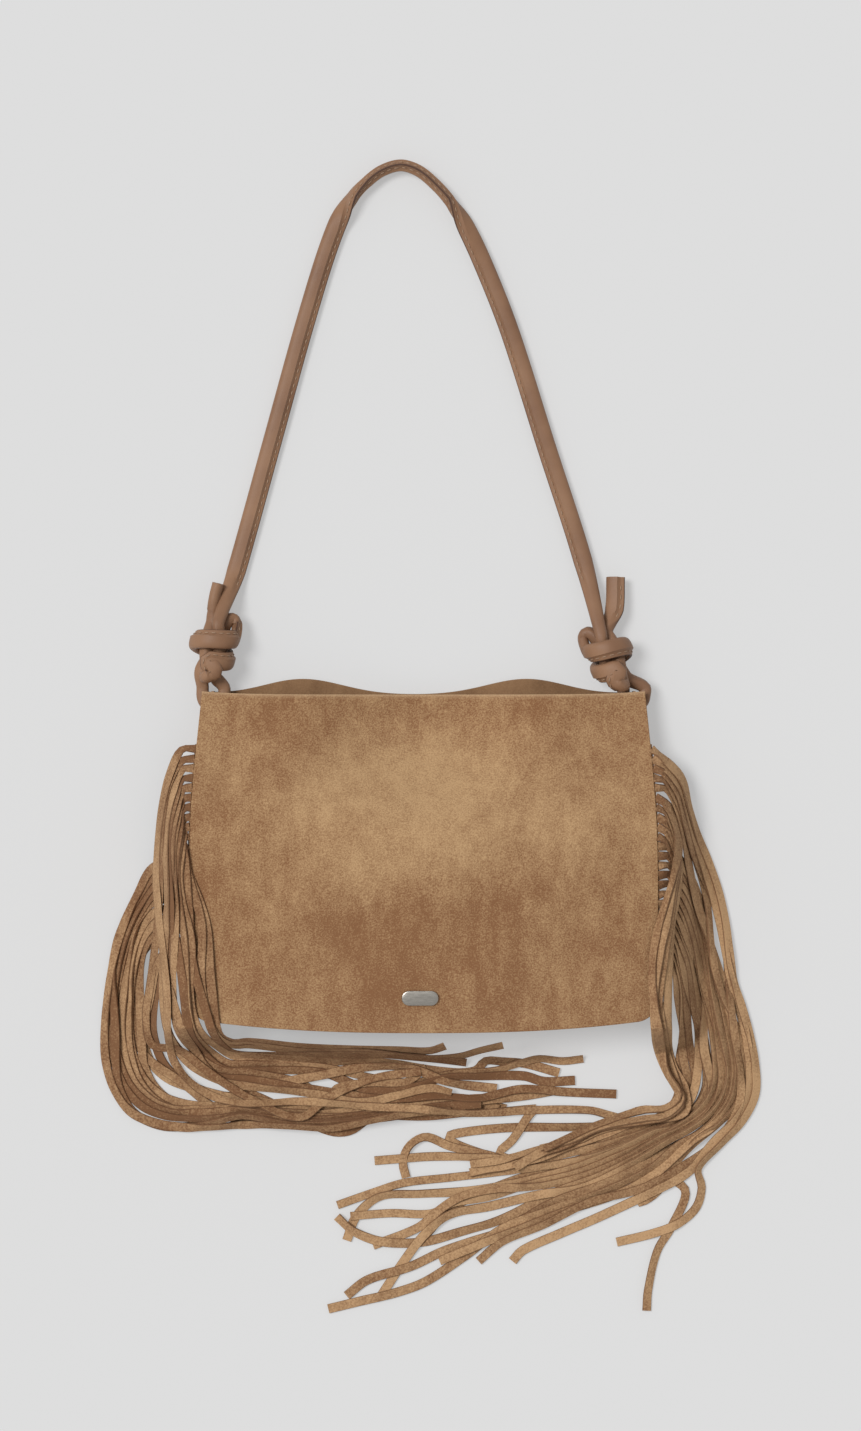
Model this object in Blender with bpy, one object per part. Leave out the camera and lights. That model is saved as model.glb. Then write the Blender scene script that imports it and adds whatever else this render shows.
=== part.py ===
# Fringed suede shoulder bag, lying on its back panel: mouth towards +Y, front panel up.
# Lengths are written in millimetres and become metres when a mesh is made.
import math
import random

import bmesh
import bpy
from mathutils import Vector

METRES_PER_MM = 0.001
UP = Vector((0.0, 0.0, 1.0))
GAP = 0.3                        # clearance between neighbouring pieces

# Panels
SUEDE = 1.5                      # thickness of the body suede
HALF_WIDTH = 140.0
MOUTH_HALF_WIDTH = 133.0
BOTTOM_Y = -101.0
MOUTH_Y = 100.5
TAPER_START = 81.0               # above the bottom edge, where the sides start to draw in
CORNER_RADIUS = 12.0
BOTTOM_END_RISE = 8.0
MOUTH_END_RISE = 2.0
HUMP_RISE = 9.5                  # the back edge stands this far above the front edge
HUMP_WIDTH = 34.0
HUMPS_X = (-73.0, 62.0)
HUMP_CURL = 5.0

# Depth of the bag, from the floor to the front panel's outer face
BODY_DEPTH = 43.0
DOME = 12.0
MOUTH_END_DEPTH = 21.5
MOUTH_BOW_DEPTH = 25.0
MOUTH_BOW_X = 78.0
MOUTH_FALL_START = 0.55          # share of the height where the front starts to fall to the mouth
MOUTH_FALL_END = 0.94

# Gusset, lining and facings
GUSSET_INSET = 2.0
GUSSET_FOLD = 5.0                # how far the gusset folds inwards at mid depth
LINING = 0.6
LINING_INSET = 10.0
LINING_SLACK = 2.0               # the lining hangs this far below the front panel
FACING = 1.2
FACING_INSET = 17.5
FACING_START = 0.80              # share of the height

# Magnetic snap
SNAP_X = 8.0
SNAP_DROP = 12.5                 # below the mouth edge
SNAP_RADIUS = 9.0
STUD_BASE = 1.2
STUD_BOSS_RADIUS = 3.0
STUD_BOSS = 1.4
SOCKET = 3.2
SOCKET_RECESS = 1.8

# Eyelets
EYELET_DROP = 7.0                # below the mouth edge
EYELET_Z = 11.0
EYELET_INSET = 6.5               # gusset mid-plane at the mouth, in from the panel edge
EYELET_BORE = 5.4
EYELET_BARREL = 6.2
EYELET_FLANGE = 7.5
FLANGE = 0.8
GUSSET_STRAIGHT = 20.0           # length of flat gusset wall below the mouth edge

# Fringe: one comb of laces down each side seam
LACES = 23
LACE_PITCH = 5.8
LACE_WIDTH = 5.2
LACE_THICKNESS = 1.0
SEAM_TOP = 171.8                 # above the bottom edge
BAND_INSET = 3.5
BAND_OUTSET = 0.8
LACE_STEPS = 34
LACE_WANDER = 3.0
STEEPEST_TILT = 4.0              # height of an edge over the middle of a lace
RUNG_LENGTH = 12.0               # the lace leaves the seam level over this length
SIDE_DRAPE = 45.0                # reach of the slope from the side seam down to the floor
END_DRAPE = 25.0
DRAPE_MARGIN = 4.0
DRAPE_LIFT = 2.0

# Strap
STRAP_RISE = 318.9               # from the mouth edge to the top of the arch
STRAP_WIDTH = 11.5
STRAP_THICKNESS = 7.0
CORE = 7.5                       # the strap squeezed round inside a knot
WRAP_THICKNESS = 6.5
WRAP_PITCH = 12.3
KNOT_LENGTH = 31.0
KNOT_CLEARANCE = 6.0             # from the mouth corner to the knot
TURN_RADIUS = 6.4                # the strap's turn through the eyelet
STRAND_RUN = 5.0                 # straight run of both strands past the turn
STRAP_RING_STEP = 14.0

# Plain plate
PLATE_LENGTH = 22.0
PLATE_WIDTH = 9.0
PLATE_THICKNESS = 1.4
PLATE_X = -2.0
PLATE_RISE = 21.0                # above the bottom edge

SUEDE_COLOUR = (0.40, 0.225, 0.115)
LACE_COLOUR = (0.37, 0.21, 0.11)
STRAP_COLOUR = (0.22, 0.125, 0.08)
LINING_COLOUR = (0.16, 0.10, 0.07)
METAL_COLOUR = (0.62, 0.55, 0.42)


def smooth(value):
    value = min(1.0, max(0.0, value))
    return value * value * (3.0 - 2.0 * value)


def between(points, x):
    """Height at x on a smooth line through the (x, height) points."""
    if x <= points[0][0]:
        return points[0][1]
    for (x0, h0), (x1, h1) in zip(points, points[1:]):
        if x <= x1:
            return h0 + (h1 - h0) * smooth((x - x0) / (x1 - x0))
    return points[-1][1]


# Outline and faces of the bag

def half_width(y):
    taper = max(0.0, (y - BOTTOM_Y - TAPER_START) / (MOUTH_Y - BOTTOM_Y - TAPER_START))
    return HALF_WIDTH - (HALF_WIDTH - MOUTH_HALF_WIDTH) * min(taper, 1.0) ** 2


def base_line(u):
    """Y of the bottom edge at share u of the half width, before its corners are rounded."""
    return BOTTOM_Y + BOTTOM_END_RISE * abs(u) ** 2.5


def corner_rise(u):
    inset = HALF_WIDTH * (1.0 - abs(u))
    if inset >= CORNER_RADIUS:
        return 0.0
    return CORNER_RADIUS - math.sqrt(CORNER_RADIUS ** 2 - (CORNER_RADIUS - inset) ** 2)


def bottom_edge(u):
    return base_line(u) + corner_rise(u)


def front_mouth(u):
    return MOUTH_Y + MOUTH_END_RISE * abs(u) ** 6


def hump(u):
    x = u * MOUTH_HALF_WIDTH
    return sum(math.exp(-((x - centre) / HUMP_WIDTH) ** 2) for centre in HUMPS_X)


def back_mouth(u):
    return front_mouth(u) + HUMP_RISE * hump(u) * (1.0 - abs(u) ** 8)


STACK_DEPTH = 2 * SUEDE + 2 * FACING + STUD_BASE + SOCKET + 5 * GAP


def front_depth(u, t):
    """Height of the front panel's outer face over the floor."""
    fall = smooth((t - MOUTH_FALL_START) / (MOUTH_FALL_END - MOUTH_FALL_START))
    rise = 0.25 + 0.75 * math.sin(math.pi * min(1.0, 0.15 + t))
    body = BODY_DEPTH + DOME * rise * (1.0 - u * u)
    mouth = between((
        (-MOUTH_HALF_WIDTH, MOUTH_END_DEPTH),
        (-MOUTH_BOW_X, MOUTH_BOW_DEPTH),
        (SNAP_X - SNAP_RADIUS / 2, STACK_DEPTH),
        (SNAP_X + SNAP_RADIUS / 2, STACK_DEPTH),
        (MOUTH_BOW_X, MOUTH_BOW_DEPTH),
        (MOUTH_HALF_WIDTH, MOUTH_END_DEPTH),
    ), u * MOUTH_HALF_WIDTH)
    return body + (mouth - body) * fall


def back_depth(u, t):
    """Height of the back panel's outer face over the floor."""
    return HUMP_CURL * hump(u) ** 3 * (1.0 - abs(u) ** 8) * smooth((t - FACING_START) / (1.0 - FACING_START))


EDGE_INSETS = (0.0, 2.0, 5.0, 9.0, FACING_INSET)
INNER_SHARES = (-0.76, -0.62, -0.46, -0.30, -0.14, -0.01, 0.06, 0.13, 0.28, 0.42, 0.60, 0.76)
COLUMNS = (
    [-1.0 + inset / HALF_WIDTH for inset in EDGE_INSETS]
    + list(INNER_SHARES)
    + [1.0 - inset / HALF_WIDTH for inset in reversed(EDGE_INSETS)]
)
FACING_ROW = FACING_START + GAP / (MOUTH_Y - BOTTOM_Y)
ROWS = [0.0, 0.05, 0.13, 0.25, 0.40, 0.55, 0.63, 0.71, FACING_START, FACING_ROW, 0.86, 0.90, 0.94, 1.0]


def plan(u, t, mouth):
    y = base_line(u) + (mouth(u) - base_line(u)) * t + corner_rise(u) * (1.0 - t) ** 4
    return u * half_width(y), y


def front_point(u, t, drop=0.0):
    x, y = plan(u, t, front_mouth)
    return Vector((x, y, front_depth(u, t) - drop))


def back_point(u, t, lift=0.0):
    x, y = plan(u, t, back_mouth)
    return Vector((x, y, back_depth(u, t) + lift))


def cell(values, value):
    """The pair of grid values round this one, and how far along it lies."""
    value = min(max(value, values[0]), values[-1])
    for low, high in zip(values, values[1:]):
        if value <= high:
            return low, high, (value - low) / (high - low)
    return values[-2], values[-1], 1.0


def front_height(x, y):
    """Height of the front panel's faceted outer face over a point of the floor."""
    u = min(1.0, max(-1.0, x / half_width(y)))
    t = 0.0
    for _ in range(8):
        rise = corner_rise(u) * (1.0 - t) ** 4
        t = min(1.0, max(0.0, (y - rise - base_line(u)) / (front_mouth(u) - base_line(u))))
    u0, u1, across = cell(COLUMNS, u)
    t0, t1, along = cell(ROWS, t)
    low = front_depth(u0, t0) * (1 - across) + front_depth(u1, t0) * across
    high = front_depth(u0, t1) * (1 - across) + front_depth(u1, t1) * across
    return low + (high - low) * along


# Mesh makers

def material(name, colour, roughness, metallic=0.0):
    made = bpy.data.materials.new(name)
    made.use_nodes = True
    shader = made.node_tree.nodes["Principled BSDF"]
    shader.inputs["Base Color"].default_value = (*colour, 1.0)
    shader.inputs["Roughness"].default_value = roughness
    shader.inputs["Metallic"].default_value = metallic
    return made


def to_object(name, mesh_data, finish, origin=None):
    """Turn a bmesh in millimetres into an object in metres, with its origin where it is given."""
    place = Vector(origin) if origin else Vector()
    bmesh.ops.translate(mesh_data, verts=mesh_data.verts, vec=-place)
    bmesh.ops.scale(mesh_data, verts=mesh_data.verts, vec=(METRES_PER_MM,) * 3)
    bmesh.ops.recalc_face_normals(mesh_data, faces=mesh_data.faces)
    mesh = bpy.data.meshes.new(name)
    mesh_data.to_mesh(mesh)
    mesh_data.free()
    made = bpy.data.objects.new(name, mesh)
    bpy.context.collection.objects.link(made)
    made.location = place * METRES_PER_MM
    mesh.materials.append(material(name + "_finish", *finish))
    mesh.shade_smooth()
    mesh.set_sharp_from_angle(angle=math.radians(40))
    return made


def add_rings(mesh_data, rings):
    """Verts of each ring, with quads between each ring and the next."""
    made = [[mesh_data.verts.new(point) for point in ring] for ring in rings]
    for ring, following in zip(made, made[1:]):
        join_rings(mesh_data, ring, following)
    return made


def join_rings(mesh_data, ring, following):
    for i in range(len(ring)):
        j = (i + 1) % len(ring)
        mesh_data.faces.new((ring[i], ring[j], following[j], following[i]))


def join_lace(mesh_data, ring, following):
    """Faces of a lace's stretch. Its two broad faces are split alike, so that they keep their distance."""
    low_a, high_a, high_b, low_b = ring
    next_low_a, next_high_a, next_high_b, next_low_b = following
    mesh_data.faces.new((low_a, high_a, next_high_a, next_low_a))
    mesh_data.faces.new((high_a, high_b, next_high_b))
    mesh_data.faces.new((high_a, next_high_b, next_high_a))
    mesh_data.faces.new((high_b, low_b, next_low_b, next_high_b))
    mesh_data.faces.new((low_b, low_a, next_low_b))
    mesh_data.faces.new((low_a, next_low_a, next_low_b))


def loft(rings):
    """Closed solid through a row of closed rings."""
    mesh_data = bmesh.new()
    made = add_rings(mesh_data, rings)
    mesh_data.faces.new(made[0])
    mesh_data.faces.new(made[-1])
    return mesh_data


def sheet(columns, rows, top, bottom):
    """Closed slab between two faces, each given at share u across and t along."""
    mesh_data = bmesh.new()
    upper = [[mesh_data.verts.new(top(u, t)) for u in columns] for t in rows]
    lower = [[mesh_data.verts.new(bottom(u, t)) for u in columns] for t in rows]
    for face in (upper, lower):
        for row, following in zip(face, face[1:]):
            for i in range(len(columns) - 1):
                mesh_data.faces.new((row[i], row[i + 1], following[i + 1], following[i]))
    rims = (
        (upper[0], lower[0]),
        (upper[-1], lower[-1]),
        ([row[0] for row in upper], [row[0] for row in lower]),
        ([row[-1] for row in upper], [row[-1] for row in lower]),
    )
    for high, low in rims:
        for i in range(len(high) - 1):
            mesh_data.faces.new((high[i], high[i + 1], low[i + 1], low[i]))
    return mesh_data


def turned(profile, axis, centre, steps=24):
    """Solid turned about an axis from a closed outline of (radius, distance along the axis)."""
    mesh_data = bmesh.new()
    verts = [mesh_data.verts.new((radius, 0.0, along)) for radius, along in profile]
    edges = [mesh_data.edges.new((a, b)) for a, b in zip(verts, verts[1:] + verts[:1])]
    bmesh.ops.spin(mesh_data, geom=verts + edges, cent=(0, 0, 0), axis=(0, 0, 1),
                   angle=math.tau, steps=steps, use_merge=True)
    bmesh.ops.remove_doubles(mesh_data, verts=mesh_data.verts, dist=0.001)
    on_axis = [e for e in mesh_data.edges if not e.link_faces]
    bmesh.ops.delete(mesh_data, geom=on_axis, context="EDGES")
    turn = Vector((0, 0, 1)).rotation_difference(Vector(axis)).to_matrix()
    bmesh.ops.rotate(mesh_data, verts=mesh_data.verts, cent=(0, 0, 0), matrix=turn)
    bmesh.ops.translate(mesh_data, verts=mesh_data.verts, vec=Vector(centre))
    return mesh_data


# Panels, facings and lining

def make_panels():
    suede = (SUEDE_COLOUR, 0.9)
    front = sheet(COLUMNS, ROWS, front_point, lambda u, t: front_point(u, t, SUEDE))
    to_object("front_panel", front, suede)
    back = sheet(COLUMNS, ROWS, lambda u, t: back_point(u, t, SUEDE), back_point)
    to_object("back_panel", back, suede)


def make_facings():
    columns = COLUMNS[len(EDGE_INSETS) - 1:len(COLUMNS) - len(EDGE_INSETS) + 1]
    rows = ROWS[ROWS.index(FACING_ROW):]
    suede = (SUEDE_COLOUR, 0.9)
    under = SUEDE + GAP
    front = sheet(columns, rows, lambda u, t: front_point(u, t, under),
                  lambda u, t: front_point(u, t, under + FACING))
    to_object("front_facing", front, suede)
    back = sheet(columns, rows, lambda u, t: back_point(u, t, under + FACING),
                 lambda u, t: back_point(u, t, under))
    to_object("back_facing", back, suede)


def lining_ring(y, half, inner):
    """One section of the lining pouch, round its back sheet and its front sheet."""
    low = SUEDE + GAP + inner
    drop = SUEDE + LINING_SLACK + inner
    half -= inner
    shares = [-1.0] + [share / 0.8 for share in INNER_SHARES] + [1.0]
    back = [Vector((share * half, y, low)) for share in shares]
    front = [Vector((share * half, y, front_height(share * half, y) - drop)) for share in reversed(shares)]
    return back + front


def make_lining():
    top = bottom_edge(0.0) + (front_mouth(0.0) - bottom_edge(0.0)) * FACING_START
    start = BOTTOM_Y + BOTTOM_END_RISE + LINING_INSET
    corner = 2 * CORNER_RADIUS
    tall = top - 2 * GAP - start
    heights = [start + tall * share for share in (0.0, 0.055, 0.165, 0.37, 0.58, 0.73, 0.83, 0.915, 1.0)]
    mesh_data = bmesh.new()
    outer = []
    inner = []
    for y in heights:
        drawn_in = 0.0
        if y - start < corner:
            drawn_in = (corner - math.sqrt(corner ** 2 - (corner - y + start) ** 2)) / 2
        half = half_width(y) - LINING_INSET - drawn_in
        outer.append(lining_ring(y, half, 0.0))
        inner.append(lining_ring(y if y > start else y + LINING, half, LINING))
    outer = add_rings(mesh_data, outer)
    inner = add_rings(mesh_data, inner)
    mesh_data.faces.new(outer[0])
    mesh_data.faces.new(inner[0])
    join_rings(mesh_data, outer[-1], inner[-1])
    to_object("lining", mesh_data, (LINING_COLOUR, 0.8))


# Gusset and eyelets

EYELET_X = MOUTH_HALF_WIDTH - EYELET_INSET
EYELET_Y = MOUTH_Y - EYELET_DROP


def edge_height(y):
    """Height of the front panel's outer face along its side edge."""
    return front_height(half_width(y), y)


def seam_height(y):
    """Height of the middle of the fringe's sewn band, just under the front panel's edge."""
    return edge_height(y) - SUEDE - 1.5 * GAP - LACE_THICKNESS / 2


def seam_top():
    return BOTTOM_Y + SEAM_TOP


def seam_bottom():
    return seam_top() - LACES * LACE_PITCH


def gusset_path():
    """Outer face of the gusset in plan, from the right mouth corner round the bottom to the left."""
    side = []
    straight = front_mouth(1.0) - GUSSET_STRAIGHT
    rows = [plan(1.0, t, front_mouth)[1] for t in ROWS if t > 0.0]
    breaks = [seam_top() + GAP, seam_top() + 2 * GAP, seam_bottom() - GAP, seam_bottom() - 2 * GAP, straight]
    heights = sorted(set(rows[:-1] + breaks + [front_mouth(1.0)]), reverse=True)
    for y in heights:
        free = half_width(y) - GUSSET_INSET
        pinned = EYELET_X + SUEDE / 2
        x = pinned + (free - pinned) * smooth((straight - y) / GUSSET_STRAIGHT)
        side.append((Vector((x, y)), Vector((-1.0, 0.0))))
    corner = []
    radius = CORNER_RADIUS - GUSSET_INSET
    centre = Vector((HALF_WIDTH - CORNER_RADIUS, bottom_edge(1.0)))
    for degrees in (10, 30, 50, 70, 90):
        turn = math.radians(degrees)
        away = Vector((math.cos(turn), -math.sin(turn)))
        corner.append((centre + away * radius, -away))
    base = []
    for u in [u for u in COLUMNS if abs(u) * HALF_WIDTH < HALF_WIDTH - CORNER_RADIUS and u >= 0]:
        base.append((Vector((u * HALF_WIDTH, bottom_edge(u) + GUSSET_INSET)), Vector((0.0, 1.0))))
    half = side + corner + list(reversed(base))
    mirrored = [(Vector((-p.x, p.y)), Vector((-n.x, n.y))) for p, n in reversed(half)]
    return half + mirrored


def make_gusset():
    rings = []
    low = SUEDE + GAP
    for point, inward in gusset_path():
        high = front_height(point.x, point.y) - SUEDE - GAP
        if seam_bottom() - 1.5 * GAP < point.y < seam_top() + 1.5 * GAP:
            high = seam_height(point.y) - LACE_THICKNESS / 2 - GAP
        flat = point.y > front_mouth(1.0) - GUSSET_STRAIGHT - GAP
        fold = 0.0 if flat else GUSSET_FOLD * smooth((high - low) / BODY_DEPTH)
        middle = (low + high) / 2
        ring = []
        for depth, z in ((0.0, low), (fold, middle), (0.0, high), (SUEDE, high), (fold + SUEDE, middle), (SUEDE, low)):
            place = point + inward * depth
            ring.append(Vector((place.x, place.y, z)))
        rings.append(ring)
    gusset = to_object("gusset", loft(rings), (SUEDE_COLOUR, 0.9))
    for side, word in ((-1, "left"), (1, "right")):
        cut = to_object("eyelet_cut_" + word, turned(
            [(0.0, -3 * SUEDE), (EYELET_BARREL + GAP, -3 * SUEDE), (EYELET_BARREL + GAP, 3 * SUEDE), (0.0, 3 * SUEDE)],
            (1, 0, 0), (side * EYELET_X, EYELET_Y, EYELET_Z)), (SUEDE_COLOUR, 0.9))
        cut.hide_render = True
        cut.display_type = "WIRE"
        hole = gusset.modifiers.new("eyelet hole", "BOOLEAN")
        hole.object = cut
        hole.operation = "DIFFERENCE"


def make_eyelets():
    metal = (METAL_COLOUR, 0.3, 1.0)
    wall = SUEDE / 2 + GAP
    for side, word in ((-1, "left"), (1, "right")):
        centre = (side * EYELET_X, EYELET_Y, EYELET_Z)
        flanged = [
            (EYELET_BORE, -wall - FLANGE), (EYELET_BARREL, -wall - FLANGE), (EYELET_BARREL, wall),
            (EYELET_FLANGE, wall), (EYELET_FLANGE, wall + FLANGE), (EYELET_BORE, wall + FLANGE),
        ]
        to_object("eyelet_" + word, turned(flanged, (side, 0, 0), centre), metal)
        inside = EYELET_BARREL + GAP
        ring = [(inside, -wall - FLANGE), (EYELET_FLANGE, -wall - FLANGE), (EYELET_FLANGE, -wall), (inside, -wall)]
        to_object("eyelet_washer_" + word, turned(ring, (side, 0, 0), centre), metal)


def make_snap():
    metal = (METAL_COLOUR, 0.3, 1.0)
    y = MOUTH_Y - SNAP_DROP
    low = SUEDE + FACING + 2 * GAP
    stud = [
        (0.0, 0.0), (SNAP_RADIUS, 0.0), (SNAP_RADIUS, STUD_BASE),
        (STUD_BOSS_RADIUS, STUD_BASE), (STUD_BOSS_RADIUS, STUD_BASE + STUD_BOSS), (0.0, STUD_BASE + STUD_BOSS),
    ]
    to_object("snap_stud", turned(stud, (0, 0, 1), (SNAP_X, y, low)), metal)
    recess = STUD_BOSS_RADIUS + GAP
    socket = [
        (0.0, SOCKET_RECESS), (recess, SOCKET_RECESS), (recess, 0.0),
        (SNAP_RADIUS, 0.0), (SNAP_RADIUS, SOCKET), (0.0, SOCKET),
    ]
    to_object("snap_socket", turned(socket, (0, 0, 1), (SNAP_X, y, low + STUD_BASE + GAP)), metal)


def make_plate():
    """A plain plate with round ends, lying along the front panel's slope."""
    y0 = BOTTOM_Y + PLATE_RISE
    end = PLATE_WIDTH / 2
    slope = (front_height(PLATE_X, y0 + end) - front_height(PLATE_X, y0 - end)) / PLATE_WIDTH
    base = front_height(PLATE_X, y0) + 1.5 * GAP
    rings = []
    for rise, shrink in ((0.0, 0.0), (PLATE_THICKNESS - 0.4, 0.0), (PLATE_THICKNESS, 0.4)):
        ring = []
        for step in range(24):
            turn = math.tau * (step + 0.5) / 24
            middle = math.copysign(PLATE_LENGTH / 2 - end, math.cos(turn))
            x = middle + (end - shrink) * math.cos(turn)
            y = (end - shrink) * math.sin(turn)
            ring.append(Vector((PLATE_X + x, y0 + y, base + rise + slope * y)))
        rings.append(ring)
    to_object("emblem_plate", loft(rings), (METAL_COLOUR, 0.3, 1.0))


# Fringe. Each guide is the way one lace lies, as (out from the side edge, up from the bottom edge).

LEFT_GUIDES = {
    0: [(6, 167), (10, 155), (12, 138), (10, 108), (4, 78), (-4, 48), (-12, 18), (-23, -2), (-42, -12),
        (-78, -15), (-120, -15), (-162, -12), (-188, -9)],
    4: [(6, 147), (13, 137), (16, 117), (14, 90), (10, 60), (2, 27), (-9, -3), (-28, -19), (-60, -23),
        (-102, -22), (-144, -20), (-198, -21), (-237, -18)],
    8: [(7, 123), (15, 113), (20, 96), (20, 69), (17, 39), (10, 9), (-1, -15), (-23, -30), (-60, -32),
        (-108, -30), (-156, -32), (-204, -31), (-232, -31)],
    12: [(8, 101), (18, 93), (25, 78), (28, 54), (26, 24), (20, -3), (8, -24), (-13, -39), (-54, -41),
         (-108, -38), (-162, -38), (-210, -41), (-246, -36)],
    16: [(11, 78), (24, 73), (34, 61), (37, 39), (37, 12), (32, -12), (22, -33), (-1, -47), (-42, -48),
         (-96, -45), (-150, -45), (-204, -43), (-257, -39)],
    19: [(12, 60), (29, 57), (42, 46), (45, 24), (47, 0), (44, -23), (33, -43), (9, -53), (-30, -53),
         (-84, -54), (-132, -50), (-183, -36)],
    22: [(12, 41), (33, 40), (47, 29), (50, 6), (52, -18), (47, -37), (34, -53), (9, -58), (-30, -57),
         (-66, -59), (-88, -59), (-120, -53), (-156, -39)],
}
RIGHT_GUIDES = {
    0: [(9, 158), (16, 142), (25, 118), (33, 96), (40, 74), (44, 48), (49, 24), (55, -3), (58, -30),
        (55, -47), (45, -62), (26, -79), (-10, -99), (-47, -119), (-82, -137), (-130, -155), (-195, -170)],
    4: [(7, 144), (14, 129), (20, 102), (27, 75), (34, 48), (40, 18), (46, -9), (49, -30), (44, -48),
        (31, -65), (2, -81), (-40, -103), (-82, -122), (-129, -141), (-185, -159)],
    8: [(7, 121), (12, 105), (16, 78), (23, 48), (30, 18), (37, -11), (39, -31), (34, -48), (20, -61),
        (-10, -77), (-49, -93), (-91, -111), (-140, -128), (-170, -132)],
    12: [(7, 99), (12, 84), (13, 60), (18, 30), (24, 0), (30, -24), (28, -42), (14, -55), (-16, -69),
         (-52, -83), (-94, -97), (-136, -109), (-184, -113)],
    16: [(8, 76), (14, 63), (13, 42), (14, 15), (18, -12), (21, -31), (14, -47), (-10, -60), (-46, -73),
         (-82, -84), (-124, -96), (-160, -103), (-192, -108)],
    19: [(9, 59), (15, 48), (13, 27), (10, 3), (12, -18), (14, -33), (4, -47), (-22, -58), (-58, -69),
         (-94, -78), (-130, -83), (-170, -79)],
    22: [(10, 41), (16, 33), (14, 15), (7, -3), (6, -18), (8, -32), (3, -44), (-16, -52), (-46, -62),
         (-76, -68), (-106, -72), (-124, -69), (-138, -66), (-149, -69), (-154, -79), (-153, -89)],
}


def smooth_curve(points, per_span):
    """Points on a smooth curve through all the given points."""
    chords = [max((b - a).length, 1e-6) for a, b in zip(points, points[1:])]
    slopes = []
    for i in range(len(points)):
        before = max(i - 1, 0)
        after = min(i + 1, len(points) - 1)
        slopes.append((points[after] - points[before]) / sum(chords[before:after]))
    made = [points[0]]
    for i, chord in enumerate(chords):
        for k in range(1, per_span + 1):
            s = k / per_span
            h = s * s * (3 - 2 * s)
            made.append(points[i] * (1 - h) + points[i + 1] * h
                        + slopes[i] * chord * (s - 2 * s * s + s ** 3)
                        + slopes[i + 1] * chord * (s ** 3 - s * s))
    return made


def walk(points, shares):
    """Points at the given shares of a line's length."""
    reach = [0.0]
    for a, b in zip(points, points[1:]):
        reach.append(reach[-1] + (b - a).length)
    made = []
    for share in shares:
        want = share * reach[-1]
        i = 1
        while i < len(points) - 1 and reach[i] < want:
            i += 1
        along = (want - reach[i - 1]) / max(reach[i] - reach[i - 1], 1e-9)
        made.append(points[i - 1].lerp(points[i], min(1.0, max(0.0, along))))
    return made


def lace_root(side, index):
    y = seam_top() - LACE_PITCH * (index + 0.5)
    return Vector((side * (half_width(y) + BAND_OUTSET), y))


def lace_route(side, guides, index, steps):
    """Plan of one lace, blended from the guides each side of it, with its own slight wander."""
    shares = [k / 40 for k in range(41)]
    keys = sorted(guides)
    low = max(key for key in keys if key <= index)
    high = min(key for key in keys if key >= index)
    share = 0.0 if low == high else (index - low) / (high - low)
    pair = []
    for key in (low, high):
        points = [Vector((side * (HALF_WIDTH + out), BOTTOM_Y + up)) for out, up in guides[key]]
        pair.append(walk(smooth_curve([lace_root(side, key)] + points, 6), shares))
    line = [a.lerp(b, share) for a, b in zip(*pair)]
    chance = random.Random(100 * (side + 2) + index)
    swing = chance.uniform(-LACE_WANDER, LACE_WANDER)
    turns = chance.uniform(0.8, 1.5)
    phase = chance.uniform(0.0, 1.0)
    root = lace_root(side, index)
    made = [root]
    for k in range(1, len(line)):
        ahead = line[min(k + 1, len(line) - 1)] - line[k - 1]
        across = Vector((-ahead.y, ahead.x)).normalized()
        s = k / (len(line) - 1)
        wander = swing * s ** 1.3 * math.sin(math.tau * (turns * s + phase))
        settle = (root - line[0]) * (1 - s) ** 12
        made.append(line[k] + across * wander + settle)
    return walk(smooth_curve(made, 2), [(k / steps) ** 1.4 for k in range(steps + 1)])


def ground(point, near):
    """Height of a lace's middle where it lies on the bag, on the slope beside it or on the floor."""
    margin = DRAPE_MARGIN * (1.0 - near)
    u = min(1.0, abs(point.x) / half_width(point.y))
    beyond_side = abs(point.x) - half_width(point.y) - margin
    beyond_end = bottom_edge(min(u, 0.9)) - point.y - margin
    away = math.hypot(max(0.0, beyond_side) / SIDE_DRAPE, max(0.0, beyond_end) / END_DRAPE)
    lift = DRAPE_LIFT - near * (DRAPE_LIFT + SUEDE)
    top = front_height(point.x, max(point.y, BOTTOM_Y)) + lift
    return LACE_THICKNESS / 2 + top * (1.0 - smooth(away))


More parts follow.
